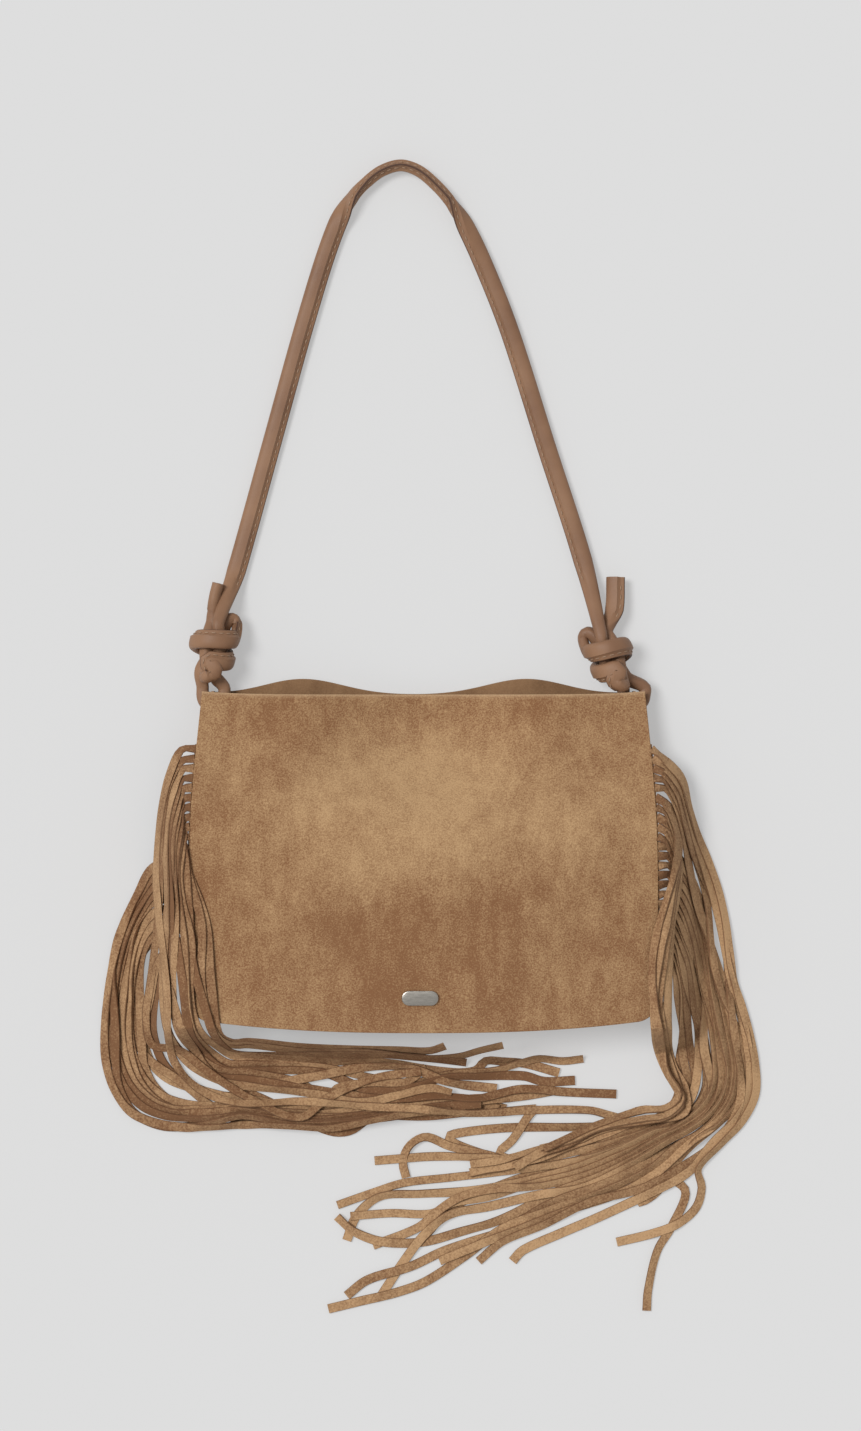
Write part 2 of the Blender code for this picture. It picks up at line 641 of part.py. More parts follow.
class Lace:
    """One lace: its middle line, the way to its mouth-side edge, and its edges' heights over the ground."""

    def __init__(self, line, side):
        self.line = line
        self.ways = []
        self.nears = []
        gone = 0.0
        for k in range(len(line)):
            before = line[max(k - 1, 0)]
            ahead = (line[min(k + 1, len(line) - 1)] - before).normalized()
            self.ways.append(Vector((-ahead.y, ahead.x)) * side)
            gone += (line[k] - before).length
            self.nears.append(1.0 - smooth((gone - RUNG_LENGTH) / RUNG_LENGTH))
        self.levels = [[0.0, 0.0] for _ in line]

    def spot(self, k, along, across):
        """Point of the plan at a share of the way from station k to its neighbour."""
        other = min(max(k + (1 if along > 0 else -1), 0), len(self.line) - 1)
        middle = self.line[k].lerp(self.line[other], abs(along))
        return middle + self.ways[k].lerp(self.ways[other], abs(along)) * across * LACE_WIDTH / 2

    def settle(self, laid):
        """Lower each station on to what is under it, tilted so that its middle comes lowest."""
        for k in range(1, len(self.line)):
            needs = []
            for across in (-1.0, -0.5, 0.0, 0.5, 1.0):
                middle = self.spot(k, 0.0, across)
                need = ground(middle, self.nears[k]) - ground(middle, 0.0)
                for along in (-0.5, -0.25, 0.0, 0.25, 0.5):
                    place = self.spot(k, along, across)
                    under = [other.height_under(place.x, place.y) for other in laid]
                    need = max([need] + [z + LACE_THICKNESS + GAP / 2 for z in under])
                needs.append((across, need))
            level = (needs[-1][1] - needs[0][1]) / 2
            best = None
            for step in range(-20, 21):
                tilt = step * STEEPEST_TILT / 20
                middle = max(need - tilt * across for across, need in needs)
                score = middle + 0.01 * abs(tilt - level)
                if best is None or score < best[0]:
                    best = (score, middle, tilt)
            self.levels[k] = [best[1] + best[2], best[1] - best[2]]

    def edge(self, k, way):
        """Edge of a station, on its mouth side (way 1) or its other side (way -1)."""
        place = self.spot(k, 0.0, way)
        z = ground(place, 0.0) + self.levels[k][0 if way > 0 else 1]
        if k > 1:
            z = max(z, panel_under(place.x, place.y))
        return Vector((place.x, place.y, z))

    def height_under(self, x, y):
        """Height of this lace's middle at a point of the plan, and far down where it isn't there."""
        highest = -LACE_WIDTH
        for k in range(len(self.line) - 1):
            a = self.line[k]
            b = self.line[k + 1]
            if min(a.x, b.x) - LACE_WIDTH > x or max(a.x, b.x) + LACE_WIDTH < x:
                continue
            if min(a.y, b.y) - LACE_WIDTH > y or max(a.y, b.y) + LACE_WIDTH < y:
                continue
            run = b - a
            along = ((x - a.x) * run.x + (y - a.y) * run.y) / max(run.length_squared, 1e-9)
            if not -0.1 <= along <= 1.1:
                continue
            along = min(1.0, max(0.0, along))
            way = self.ways[k].lerp(self.ways[k + 1], along)
            off = (x - a.x - run.x * along) * way.x + (y - a.y - run.y * along) * way.y
            edge = (1.0 - off * 2 / LACE_WIDTH) / 2
            if not -0.1 <= edge <= 1.1:
                continue
            low, high = self.levels[k], self.levels[k + 1]
            start = low[0] + (low[1] - low[0]) * edge
            end = high[0] + (high[1] - high[0]) * edge
            highest = max(highest, start + (end - start) * along)
        return highest


def panel_under(x, y):
    """Least height of a lace's middle over the front panel, and zero off the panel."""
    near_x = min(abs(x), half_width(y))
    near_y = max(y, bottom_edge(min(1.0, near_x / HALF_WIDTH)))
    if math.hypot(abs(x) - near_x, y - near_y) > 2 * GAP:
        return 0.0
    return front_height(near_x, near_y) + LACE_THICKNESS / 2 + 2 * GAP


def lay_laces(side, guides):
    """All laces of a comb. The lowest lies first, and each of the others over those before it."""
    laid = []
    for index in reversed(range(LACES)):
        lace = Lace(lace_route(side, guides, index, LACE_STEPS), side)
        lace.settle(laid)
        laid.append(lace)
    return laid[::-1]


def make_fringe(side, word, guides):
    """One strip of suede with a sewn band and cut laces."""
    mesh_data = bmesh.new()
    roots = []
    band = []
    half_lace = LACE_WIDTH / 2
    for index in range(LACES):
        middle = seam_top() - LACE_PITCH * (index + 0.5)
        for y in (middle + half_lace, middle - half_lace):
            high = seam_height(y) + LACE_THICKNESS / 2
            low = high - LACE_THICKNESS
            inner = side * (half_width(y) - BAND_INSET)
            outer = side * (half_width(y) + BAND_OUTSET)
            corners = ((inner, low), (inner, high), (outer, high), (outer, low))
            band.append([mesh_data.verts.new((x, y, z)) for x, z in corners])
    for i, (ring, following) in enumerate(zip(band, band[1:])):
        is_root = i % 2 == 0
        for a in range(4):
            b = (a + 1) % 4
            if a == 2 and is_root:
                roots.append((ring[3], ring[2], following[2], following[3]))
            else:
                mesh_data.faces.new((ring[a], ring[b], following[b], following[a]))
    mesh_data.faces.new(band[0])
    mesh_data.faces.new(band[-1])
    for root, lace in zip(roots, lay_laces(side, guides)):
        last = root
        for k in range(1, len(lace.line)):
            ring = []
            for way, lift in ((1, -1), (1, 1), (-1, 1), (-1, -1)):
                place = lace.edge(k, way)
                ring.append(mesh_data.verts.new(place + UP * (lift * LACE_THICKNESS / 2)))
            join_lace(mesh_data, last, ring)
            last = ring
        mesh_data.faces.new(last)
    to_object("fringe_" + word, mesh_data, (LACE_COLOUR, 0.9))


# Strap. The arch is given as (share of the eyelet's distance from the middle, share of the rise).

ARCH = (
    (-0.892, 0.234), (-0.720, 0.480), (-0.548, 0.725), (-0.420, 0.881), (-0.332, 0.943), (-0.263, 0.971),
    (-0.197, 0.990), (-0.113, 1.0), (-0.040, 0.993), (0.026, 0.975), (0.119, 0.936), (0.206, 0.880),
    (0.304, 0.796), (0.417, 0.680), (0.588, 0.466), (0.760, 0.253),
)
APEX_START = -0.42               # the strap stands on edge between these shares
APEX_END = 0.25
KNOT_LEANS = {-1: (-130.0, 13.0, 5.0), 1: (119.0, -24.0, 0.0)}   # foot x, lean in degrees, extra rise


class Knot:
    """Frame of a knot: its foot on the mouth side, its axis and the way to its outer side."""

    def __init__(self, side):
        foot_x, lean, extra = KNOT_LEANS[side]
        turn = math.radians(lean)
        self.side = side
        self.axis = Vector((math.sin(turn), math.cos(turn), 0.0))
        self.inner_way = Vector((math.cos(turn), -math.sin(turn), 0.0)) * -side
        radius = GAP + CORE / math.sqrt(3.0) + CORE / 2 + WRAP_THICKNESS / 2
        self.wrap_radius = radius
        rise = radius + WRAP_THICKNESS / 2 + GAP
        y = front_mouth(1.0) + KNOT_CLEARANCE + extra
        self.foot = Vector((foot_x, y, rise))

    def out(self, degrees):
        turn = math.radians(degrees)
        return self.inner_way * math.cos(turn) + UP * math.sin(turn)

    def at(self, degrees, radius, along):
        return self.foot + self.axis * along + self.out(degrees) * radius


def knot_stations(side):
    """The strap from its tail through one knot and the eyelet, and back up to the arch."""
    knot = Knot(side)
    core = (CORE / 2, CORE / 2)
    wrap = (STRAP_WIDTH / 2, WRAP_THICKNESS / 2)
    slim = (STRAP_WIDTH / 2, STRAP_THICKNESS / 2)
    ring = CORE / math.sqrt(3.0) + GAP / 2
    made = []

    def core_run(base, along_from, along_to, sign):
        for k in range(5):
            along = along_from + (along_to - along_from) * k / 4
            angle = base + 120.0 * along / KNOT_LENGTH
            made.append((knot.at(angle, ring, along), knot.out(angle) * sign, core))

    tail_side = knot.inner_way
    made.append((knot.at(205, 7.0, KNOT_LENGTH + 24), tail_side, slim))
    made.append((knot.at(207, 6.0, KNOT_LENGTH + 12), tail_side, slim))
    core_run(90.0, KNOT_LENGTH, 3.0, -1)
    made.append((knot.at(92, ring + 1.0, -1.5), -(knot.out(92) + knot.axis), core))
    made.append((knot.at(88, 8.5, -2.5), -knot.axis, core))
    made.append((knot.at(70, knot.wrap_radius, 1.5), knot.out(70) - knot.axis, wrap))
    start = KNOT_LENGTH - STRAP_WIDTH / 2
    for k in range(16):
        angle = 810.0 - 30.0 * k
        along = start - WRAP_PITCH * (angle - 330.0) / 360.0
        made.append((knot.at(angle, knot.wrap_radius, along), knot.out(angle), wrap))
    made.append((knot.at(338, knot.wrap_radius, KNOT_LENGTH + 1.0), knot.out(338) + knot.axis, wrap))
    made.append((knot.at(332, 8.5, KNOT_LENGTH + 4.0), knot.axis, core))
    made.append((knot.at(330, ring + 1.0, KNOT_LENGTH + 2.0), knot.axis - knot.out(330), core))
    core_run(210.0, KNOT_LENGTH - 3.0, 0.0, -1)
    turn_y = EYELET_Y + TURN_RADIUS
    middle = Vector((side * EYELET_X, turn_y, EYELET_Z))
    outer = Vector((side * TURN_RADIUS, 0.0, 0.0))
    run = Vector((0.0, STRAND_RUN, 0.0))
    made.append((middle + outer + run, UP, core))
    for degrees in range(0, 181, 30):
        turn = math.radians(degrees)
        way = outer * math.cos(turn) + Vector((0.0, -TURN_RADIUS * math.sin(turn), 0.0))
        made.append((middle + way, UP, core))
    made.append((middle - outer + run, UP, core))
    core_run(330.0, 0.0, KNOT_LENGTH, 1)
    return made


def arch_stations():
    made = []
    for share, rise in ARCH:
        x = share * EYELET_X
        y = MOUTH_Y + rise * STRAP_RISE
        tilt = smooth((share - APEX_START) / 0.12) * smooth((APEX_END - share) / 0.12) * math.pi / 2
        ahead = Vector((0.42 - 0.9 * smooth((share + 0.5) / 1.0), 0.0, 0.0))
        out = Vector((ahead.x * -1.0, rise, 0.0)).normalized()
        face = UP * math.cos(tilt) + out * math.sin(tilt)
        half = (STRAP_WIDTH / 2, STRAP_THICKNESS / 2)
        z = GAP + math.hypot(half[0] * math.sin(tilt), half[1] * math.cos(tilt))
        made.append((Vector((x, y, z)), face, half))
    return made


def make_strap():
    left = knot_stations(-1)
    right = knot_stations(1)
    stations = left + arch_stations() + right[::-1]
    places = [station[0] for station in stations]
    faces = [station[1].normalized() for station in stations]
    halves = [Vector(station[2]) for station in stations]
    pieces = 4
    fine = smooth_curve(places, pieces)
    rings = []
    since = STRAP_RING_STEP
    for i, place in enumerate(fine):
        span, part = divmod(i, pieces)
        share = part / pieces
        after = min(span + 1, len(stations) - 1)
        if i:
            since += (place - fine[i - 1]).length
        at_station = part == 0
        if not at_station and since < STRAP_RING_STEP:
            continue
        since = 0.0
        ahead = (fine[min(i + 1, len(fine) - 1)] - fine[max(i - 1, 0)]).normalized()
        face = faces[span].lerp(faces[after], share)
        across = ahead.cross(face).normalized()
        face = across.cross(ahead).normalized()
        half = halves[span].lerp(halves[after], share)
        rings.append(strap_ring(place, across * half.x, face * half.y))
    origin = (0.0, EYELET_Y, EYELET_Z)
    to_object("strap", loft(rings), (STRAP_COLOUR, 0.5), origin)


def strap_ring(place, across, face):
    """Octagon that fills the strap's width and thickness."""
    reach = 1.0 / math.cos(math.pi / 8)
    made = []
    for step in range(8):
        turn = math.pi / 8 + step * math.pi / 4
        made.append(place + across * math.cos(turn) * reach + face * math.sin(turn) * reach)
    sunk = max(0.0, GAP - min(point.z for point in made))
    return [point + UP * sunk for point in made]


for old in list(bpy.data.objects):
    bpy.data.objects.remove(old, do_unlink=True)

make_panels()
make_facings()
make_lining()
make_gusset()
make_eyelets()
make_snap()
make_plate()
make_fringe(-1, "left", LEFT_GUIDES)
make_fringe(1, "right", RIGHT_GUIDES)
make_strap()
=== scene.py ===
import math
import random

import bmesh
import bpy
import numpy as np
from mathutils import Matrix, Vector


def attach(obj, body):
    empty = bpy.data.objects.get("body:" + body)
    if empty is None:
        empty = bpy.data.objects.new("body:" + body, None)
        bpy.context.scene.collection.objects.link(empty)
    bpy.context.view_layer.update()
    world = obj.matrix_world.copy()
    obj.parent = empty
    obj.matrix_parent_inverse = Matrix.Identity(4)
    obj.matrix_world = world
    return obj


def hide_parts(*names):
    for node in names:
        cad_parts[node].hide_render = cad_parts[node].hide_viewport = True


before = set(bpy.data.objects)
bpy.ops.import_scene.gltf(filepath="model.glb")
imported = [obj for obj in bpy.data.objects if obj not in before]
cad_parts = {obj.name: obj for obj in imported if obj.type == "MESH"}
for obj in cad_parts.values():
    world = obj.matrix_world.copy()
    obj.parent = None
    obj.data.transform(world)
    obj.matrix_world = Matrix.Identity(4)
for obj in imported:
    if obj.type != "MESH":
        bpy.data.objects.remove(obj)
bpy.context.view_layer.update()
print("frame loaded")

# camera first: straight down on the bag, as in the photo
cameraView = {"place": (0.0042, 0.0879, 3.24), "lens": 135.0, "sensor": 36.0}

camera = bpy.data.cameras.new("photoCamera")
camera.lens = cameraView["lens"]
camera.sensor_width = cameraView["sensor"]
camera.clip_start = 0.1
camera.clip_end = 60.0
cameraObject = bpy.data.objects.new("photoCamera", camera)
cameraObject.location = cameraView["place"]
bpy.context.collection.objects.link(cameraObject)
bpy.context.scene.camera = cameraObject
bpy.context.scene.view_settings.view_transform = "Standard"


# node helpers

def addNode(tree, kind, at=(0, 0), **settings):
    made = tree.nodes.new(kind)
    made.location = at
    for key, value in settings.items():
        setattr(made, key, value)
    return made


def newMaterial(name):
    made = bpy.data.materials.new(name)
    made.use_nodes = True
    return made, made.node_tree, made.node_tree.nodes["Principled BSDF"]


def mixColour(tree, factor, low, high, at=(0, 0), blend="MIX"):
    mix = addNode(tree, "ShaderNodeMix", at, data_type="RGBA", blend_type=blend)
    for socket, value in ((mix.inputs[0], factor), (mix.inputs[6], low), (mix.inputs[7], high)):
        if isinstance(value, bpy.types.NodeSocket):
            tree.links.new(value, socket)
        else:
            socket.default_value = value
    return mix.outputs[2]


def doMath(tree, operation, first, second=None, at=(0, 0), clamp=False):
    made = addNode(tree, "ShaderNodeMath", at, operation=operation, use_clamp=clamp)
    for socket, value in zip(made.inputs, (first, second)):
        if value is None:
            continue
        if isinstance(value, bpy.types.NodeSocket):
            tree.links.new(value, socket)
        else:
            socket.default_value = value
    return made.outputs[0]


def addBump(tree, height, shader, strength, distance, at=(0, 0)):
    bump = addNode(tree, "ShaderNodeBump", at)
    bump.inputs["Strength"].default_value = strength
    bump.inputs["Distance"].default_value = distance
    tree.links.new(height, bump.inputs["Height"])
    tree.links.new(bump.outputs["Normal"], shader.inputs["Normal"])


# shader node groups

def newGroup(name, inputs):
    group = bpy.data.node_groups.new(name, "ShaderNodeTree")
    for key, value in inputs.items():
        kind = "NodeSocketColor" if isinstance(value, tuple) else "NodeSocketFloat"
        socket = group.interface.new_socket(key, in_out="INPUT", socket_type=kind)
        socket.default_value = value
    for key in ("Color", "Height", "Roughness"):
        kind = "NodeSocketColor" if key == "Color" else "NodeSocketFloat"
        group.interface.new_socket(key, in_out="OUTPUT", socket_type=kind)
    given = addNode(group, "NodeGroupInput", (-1400, 0))
    out = addNode(group, "NodeGroupOutput", (700, 0))
    return group, given, out


napShape = {
    "stretch": (1.0, 0.45, 1.0), "turn": 0.35, "roughest": 0.98, "polish": 0.1,
    # detail, roughness and contrast of each noise
    "waves": {"Patch": (5.0, 0.6, 0.22), "Brush": (6.0, 0.65, 0.2), "Fibre": (2.0, 0.6, 0.3)},
}


def buildSuedeNap():
    group, given, out = newGroup("suedeNap", {
        "Dark": (0.29, 0.155, 0.077, 1), "Light": (0.45, 0.28, 0.145, 1), "Shift": 0.0,
        "Patch Scale": 12.0, "Patch Amount": 0.8, "Brush Scale": 60.0, "Brush Amount": 0.5,
        "Fibre Scale": 1300.0, "Fibre Amount": 0.9,
    })
    where = addNode(group, "ShaderNodeTexCoord", (-1400, -400))
    stretch = addNode(group, "ShaderNodeMapping", (-1200, -500))
    stretch.inputs["Scale"].default_value = napShape["stretch"]
    stretch.inputs["Rotation"].default_value = (0.0, 0.0, napShape["turn"])
    group.links.new(where.outputs["Object"], stretch.inputs["Vector"])
    waves = []
    for row, (label, (detail, rough, spread)) in enumerate(napShape["waves"].items()):
        source = stretch.outputs["Vector"] if label == "Brush" else where.outputs["Object"]
        noise = addNode(group, "ShaderNodeTexNoise", (-900, -300 * row))
        noise.inputs["Detail"].default_value = detail
        noise.inputs["Roughness"].default_value = rough
        group.links.new(source, noise.inputs["Vector"])
        group.links.new(given.outputs[label + " Scale"], noise.inputs["Scale"])
        sharper = addNode(group, "ShaderNodeMapRange", (-800, -300 * row), interpolation_type="SMOOTHSTEP")
        sharper.inputs["From Min"].default_value = 0.5 - spread
        sharper.inputs["From Max"].default_value = 0.5 + spread
        group.links.new(noise.outputs[0], sharper.inputs["Value"])
        centred = doMath(group, "SUBTRACT", sharper.outputs[0], 0.5, (-700, -300 * row))
        amount = given.outputs[label + " Amount"]
        waves.append(doMath(group, "MULTIPLY", centred, amount, (-500, -300 * row)))
    patch, brush, fibre = waves
    total = doMath(group, "ADD", patch, brush, (-300, 0))
    total = doMath(group, "ADD", total, fibre, (-150, 0))
    total = doMath(group, "ADD", total, given.outputs["Shift"], (0, 0))
    total = doMath(group, "ADD", total, 0.5, (150, 0), clamp=True)
    colour = mixColour(group, total, given.outputs["Dark"], given.outputs["Light"], (350, 100))
    group.links.new(colour, out.inputs["Color"])
    group.links.new(doMath(group, "ADD", brush, fibre, (200, -300)), out.inputs["Height"])
    rough = doMath(group, "MULTIPLY", total, -napShape["polish"], (300, -500))
    rough = doMath(group, "ADD", rough, napShape["roughest"], (450, -500))
    group.links.new(rough, out.inputs["Roughness"])
    return group


grainShape = {
    "detail": 4.0, "cloudLow": 0.3, "cloudHigh": 0.7, "crease": 0.18, "smoothest": 0.42, "wear": 0.12,
}


def buildLeatherGrain():
    group, given, out = newGroup("leatherGrain", {
        "Dark": (0.17, 0.09, 0.055, 1), "Light": (0.26, 0.15, 0.1, 1),
        "Grain Scale": 700.0, "Cloud Scale": 35.0,
    })
    where = addNode(group, "ShaderNodeTexCoord", (-1000, -300))
    cells = addNode(group, "ShaderNodeTexVoronoi", (-700, -200), feature="DISTANCE_TO_EDGE")
    cloud = addNode(group, "ShaderNodeTexNoise", (-700, 200))
    cloud.inputs["Detail"].default_value = grainShape["detail"]
    for node, scale in ((cells, "Grain Scale"), (cloud, "Cloud Scale")):
        group.links.new(where.outputs["Object"], node.inputs["Vector"])
        group.links.new(given.outputs[scale], node.inputs["Scale"])
    spread = addNode(group, "ShaderNodeMapRange", (-400, 200))
    spread.inputs["From Min"].default_value = grainShape["cloudLow"]
    spread.inputs["From Max"].default_value = grainShape["cloudHigh"]
    group.links.new(cloud.outputs[0], spread.inputs["Value"])
    crease = addNode(group, "ShaderNodeMapRange", (-400, -200))
    crease.inputs["From Max"].default_value = grainShape["crease"]
    group.links.new(cells.outputs["Distance"], crease.inputs["Value"])
    colour = mixColour(group, spread.outputs[0], given.outputs["Dark"], given.outputs["Light"], (0, 200))
    group.links.new(colour, out.inputs["Color"])
    group.links.new(crease.outputs[0], out.inputs["Height"])
    wear = doMath(group, "MULTIPLY", spread.outputs[0], grainShape["wear"], (0, -300))
    wear = doMath(group, "ADD", wear, grainShape["smoothest"], (200, -300))
    group.links.new(wear, out.inputs["Roughness"])
    return group


suedeNap = buildSuedeNap()
leatherGrain = buildLeatherGrain()


def useGroup(tree, group, values, at=(-500, 0)):
    made = addNode(tree, "ShaderNodeGroup", at)
    made.node_tree = group
    for name, value in values.items():
        made.inputs[name].default_value = value
    return made


# materials

suedeFinish = {"specular": 0.15, "sheen": 0.05, "tint": (0.8, 0.55, 0.35, 1), "bump": 0.5, "depth": 0.0005}


def finishSuede(tree, shader, nap, colour, finish):
    tree.links.new(colour, shader.inputs["Base Color"])
    tree.links.new(nap.outputs["Roughness"], shader.inputs["Roughness"])
    shader.inputs["Specular IOR Level"].default_value = finish["specular"]
    shader.inputs["Sheen Weight"].default_value = finish["sheen"]
    shader.inputs["Sheen Tint"].default_value = finish["tint"]
    addBump(tree, nap.outputs["Height"], shader, finish["bump"], finish["depth"], (-200, -400))


panelFinish = {
    "nap": {
        "Dark": (0.25, 0.119, 0.055, 1), "Light": (0.535, 0.34, 0.176, 1),
        "Patch Scale": 24.0, "Patch Amount": 0.3, "Brush Scale": 110.0, "Brush Amount": 0.32,
        "Fibre Scale": 1100.0, "Fibre Amount": 0.85,
    },
    # painted highlight: a lighter colour along the mouth edge
    "rim": (0.62, 0.43, 0.26, 1), "rimShare": 0.6,
    "specular": 0.15, "sheen": 0.1, "tint": (0.9, 0.7, 0.5, 1), "bump": 0.5, "depth": 0.0006,
    # lighter and darker areas of the nap colour: nap patches together with painted light at the upper centre
    # and painted shade toward the mouth, the bottom and the sides; x, y, reach in mm and how strong
    "napPatchesAndPaintedLight": (
        (0, 38, 105, 0.42), (75, 45, 70, 0.12), (-60, 25, 70, 0.12), (-30, 92, 75, -0.27),
        (60, 95, 75, -0.28), (-95, 95, 60, -0.2), (-50, -62, 95, -0.28), (25, -45, 90, -0.3),
        (100, -60, 80, -0.12), (135, -75, 80, -0.05), (-140, 0, 90, -0.2),
    ),
    "shift": 0.06, "warpScale": 14.0, "warp": 0.06,
}


def makePanelSuede():
    made, tree, shader = newMaterial("panelSuede")
    nap = useGroup(tree, suedeNap, panelFinish["nap"])
    where = addNode(tree, "ShaderNodeTexCoord", (-1700, 0))
    flat = addNode(tree, "ShaderNodeVectorMath", (-1500, 0), operation="MULTIPLY")
    flat.inputs[1].default_value = (1.0, 1.0, 0.0)
    tree.links.new(where.outputs["Object"], flat.inputs[0])
    warp = addNode(tree, "ShaderNodeTexNoise", (-1500, -300))
    warp.inputs["Scale"].default_value = panelFinish["warpScale"]
    tree.links.new(where.outputs["Object"], warp.inputs["Vector"])
    push = addNode(tree, "ShaderNodeVectorMath", (-1300, -300), operation="SCALE")
    push.inputs["Scale"].default_value = panelFinish["warp"]
    tree.links.new(warp.outputs["Color"], push.inputs[0])
    moved = addNode(tree, "ShaderNodeVectorMath", (-1300, 0), operation="ADD")
    tree.links.new(flat.outputs[0], moved.inputs[0])
    tree.links.new(push.outputs[0], moved.inputs[1])
    middle = panelFinish["warp"] / 2  # the noise pushes by half the warp on average
    # each area shifts the nap colour: nap patches plus painted light at the upper centre and painted shade
    # toward the mouth, the bottom and the sides
    total = None
    for i, (x, y, reach, strength) in enumerate(panelFinish["napPatchesAndPaintedLight"]):
        away = addNode(tree, "ShaderNodeVectorMath", (-1100, -220 * i), operation="DISTANCE")
        away.inputs[1].default_value = (x / 1000 + middle, y / 1000 + middle, middle)
        tree.links.new(moved.outputs[0], away.inputs[0])
        fade = addNode(tree, "ShaderNodeMapRange", (-900, -220 * i), interpolation_type="SMOOTHSTEP")
        fade.inputs["From Max"].default_value = reach / 1000
        fade.inputs["To Min"].default_value = strength
        fade.inputs["To Max"].default_value = 0.0
        tree.links.new(away.outputs["Value"], fade.inputs["Value"])
        if total is None:
            total = fade.outputs[0]
        else:
            total = doMath(tree, "ADD", total, fade.outputs[0], (-700, -220 * i))
    tree.links.new(doMath(tree, "SUBTRACT", total, panelFinish["shift"], (-600, 0)), nap.inputs["Shift"])
    # painted highlight along the mouth edge, mixed into the nap colour through the rim mask
    rim = addNode(tree, "ShaderNodeAttribute", (-500, 300), attribute_name="rim")
    rimHighlight = doMath(tree, "MULTIPLY", rim.outputs["Fac"], panelFinish["rimShare"], (-350, 300))
    colour = mixColour(tree, rimHighlight, nap.outputs["Color"], panelFinish["rim"], (-200, 200))
    finishSuede(tree, shader, nap, colour, panelFinish)
    return made


def makePlainSuede(name, dark, light):
    made, tree, shader = newMaterial(name)
    nap = useGroup(tree, suedeNap, {
        "Dark": dark, "Light": light, "Patch Scale": 30.0, "Patch Amount": 0.25,
        "Brush Scale": 120.0, "Brush Amount": 0.2, "Fibre Scale": 900.0, "Fibre Amount": 0.3,
    })
    finishSuede(tree, shader, nap, nap.outputs["Color"], suedeFinish)
    return made


laceFinish = {
    "nap": {
        "Dark": (0.215, 0.106, 0.052, 1), "Light": (0.52, 0.322, 0.17, 1),
        "Patch Scale": 45.0, "Patch Amount": 0.3, "Brush Scale": 150.0, "Brush Amount": 0.35,
        "Fibre Scale": 850.0, "Fibre Amount": 0.8,
    },
    # dark cut-edge colour: the leather's own cut edge plus painted shade on the lace sides
    "cut": (0.16, 0.08, 0.042, 1),
}


def makeLaceSuede():
    made, tree, shader = newMaterial("laceSuede")
    nap = useGroup(tree, suedeNap, laceFinish["nap"])
    # the tone attribute carries each lace's random tone and drift plus painted shade near its root
    tone = addNode(tree, "ShaderNodeAttribute", (-900, 0), attribute_name="tone")
    tree.links.new(tone.outputs["Fac"], nap.inputs["Shift"])
    # the cutEdge mask mixes in the dark cut-edge colour, partly painted shade on the lace sides
    cut = addNode(tree, "ShaderNodeAttribute", (-500, 300), attribute_name="cutEdge")
    colour = mixColour(tree, cut.outputs["Fac"], nap.outputs["Color"], laceFinish["cut"], (-200, 200))
    finishSuede(tree, shader, nap, colour, suedeFinish)
    return made


strapFinish = {
    "grain": {
        "Dark": (0.215, 0.111, 0.063, 1), "Light": (0.325, 0.18, 0.102, 1),
        "Grain Scale": 1100.0, "Cloud Scale": 30.0,
    },
    "edge": (0.085, 0.042, 0.027, 1), "specular": 0.28,
}


def makeStrapLeather():
    made, tree, shader = newMaterial("strapLeather")
    grain = useGroup(tree, leatherGrain, strapFinish["grain"])
    edge = addNode(tree, "ShaderNodeAttribute", (-500, 300), attribute_name="flangeEdge")
    colour = mixColour(tree, edge.outputs["Fac"], grain.outputs["Color"], strapFinish["edge"], (-200, 200))
    tree.links.new(colour, shader.inputs["Base Color"])
    tree.links.new(grain.outputs["Roughness"], shader.inputs["Roughness"])
    shader.inputs["Specular IOR Level"].default_value = strapFinish["specular"]
    addBump(tree, grain.outputs["Height"], shader, 0.25, 0.00015, (-200, -400))
    return made


def makeLiningCloth():
    made, tree, shader = newMaterial("liningCloth")
    where = addNode(tree, "ShaderNodeTexCoord", (-1200, 0))
    bands = []
    for axis, spot in (("X", 200), ("Y", -200)):
        wave = addNode(tree, "ShaderNodeTexWave", (-900, spot), bands_direction=axis)
        wave.inputs["Scale"].default_value = 300.0
        wave.inputs["Distortion"].default_value = 0.6
        tree.links.new(where.outputs["Object"], wave.inputs["Vector"])
        bands.append(wave.outputs["Fac"])
    weave = doMath(tree, "MULTIPLY", bands[0], bands[1], (-600, 0))
    colour = mixColour(tree, weave, (0.09, 0.055, 0.038, 1), (0.2, 0.125, 0.085, 1), (-300, 0))
    tree.links.new(colour, shader.inputs["Base Color"])
    rough = doMath(tree, "MULTIPLY", weave, -0.15, (-300, -200))
    tree.links.new(doMath(tree, "ADD", rough, 0.85, (-150, -200)), shader.inputs["Roughness"])
    addBump(tree, weave, shader, 0.4, 0.0002, (-200, -400))
    return made


def makeThread():
    made, tree, shader = newMaterial("stitchThread")
    where = addNode(tree, "ShaderNodeTexCoord", (-900, 0))
    twist = addNode(tree, "ShaderNodeTexNoise", (-700, 0))
    twist.inputs["Scale"].default_value = 900.0
    tree.links.new(where.outputs["Object"], twist.inputs["Vector"])
    colour = mixColour(tree, twist.outputs[0], (0.24, 0.14, 0.085, 1), (0.46, 0.31, 0.2, 1), (-300, 0))
    tree.links.new(colour, shader.inputs["Base Color"])
    rough = doMath(tree, "MULTIPLY", twist.outputs[0], 0.2, (-300, -200))
    tree.links.new(doMath(tree, "ADD", rough, 0.5, (-150, -200)), shader.inputs["Roughness"])
    addBump(tree, twist.outputs[0], shader, 0.3, 0.0001, (-200, -400))
    return made


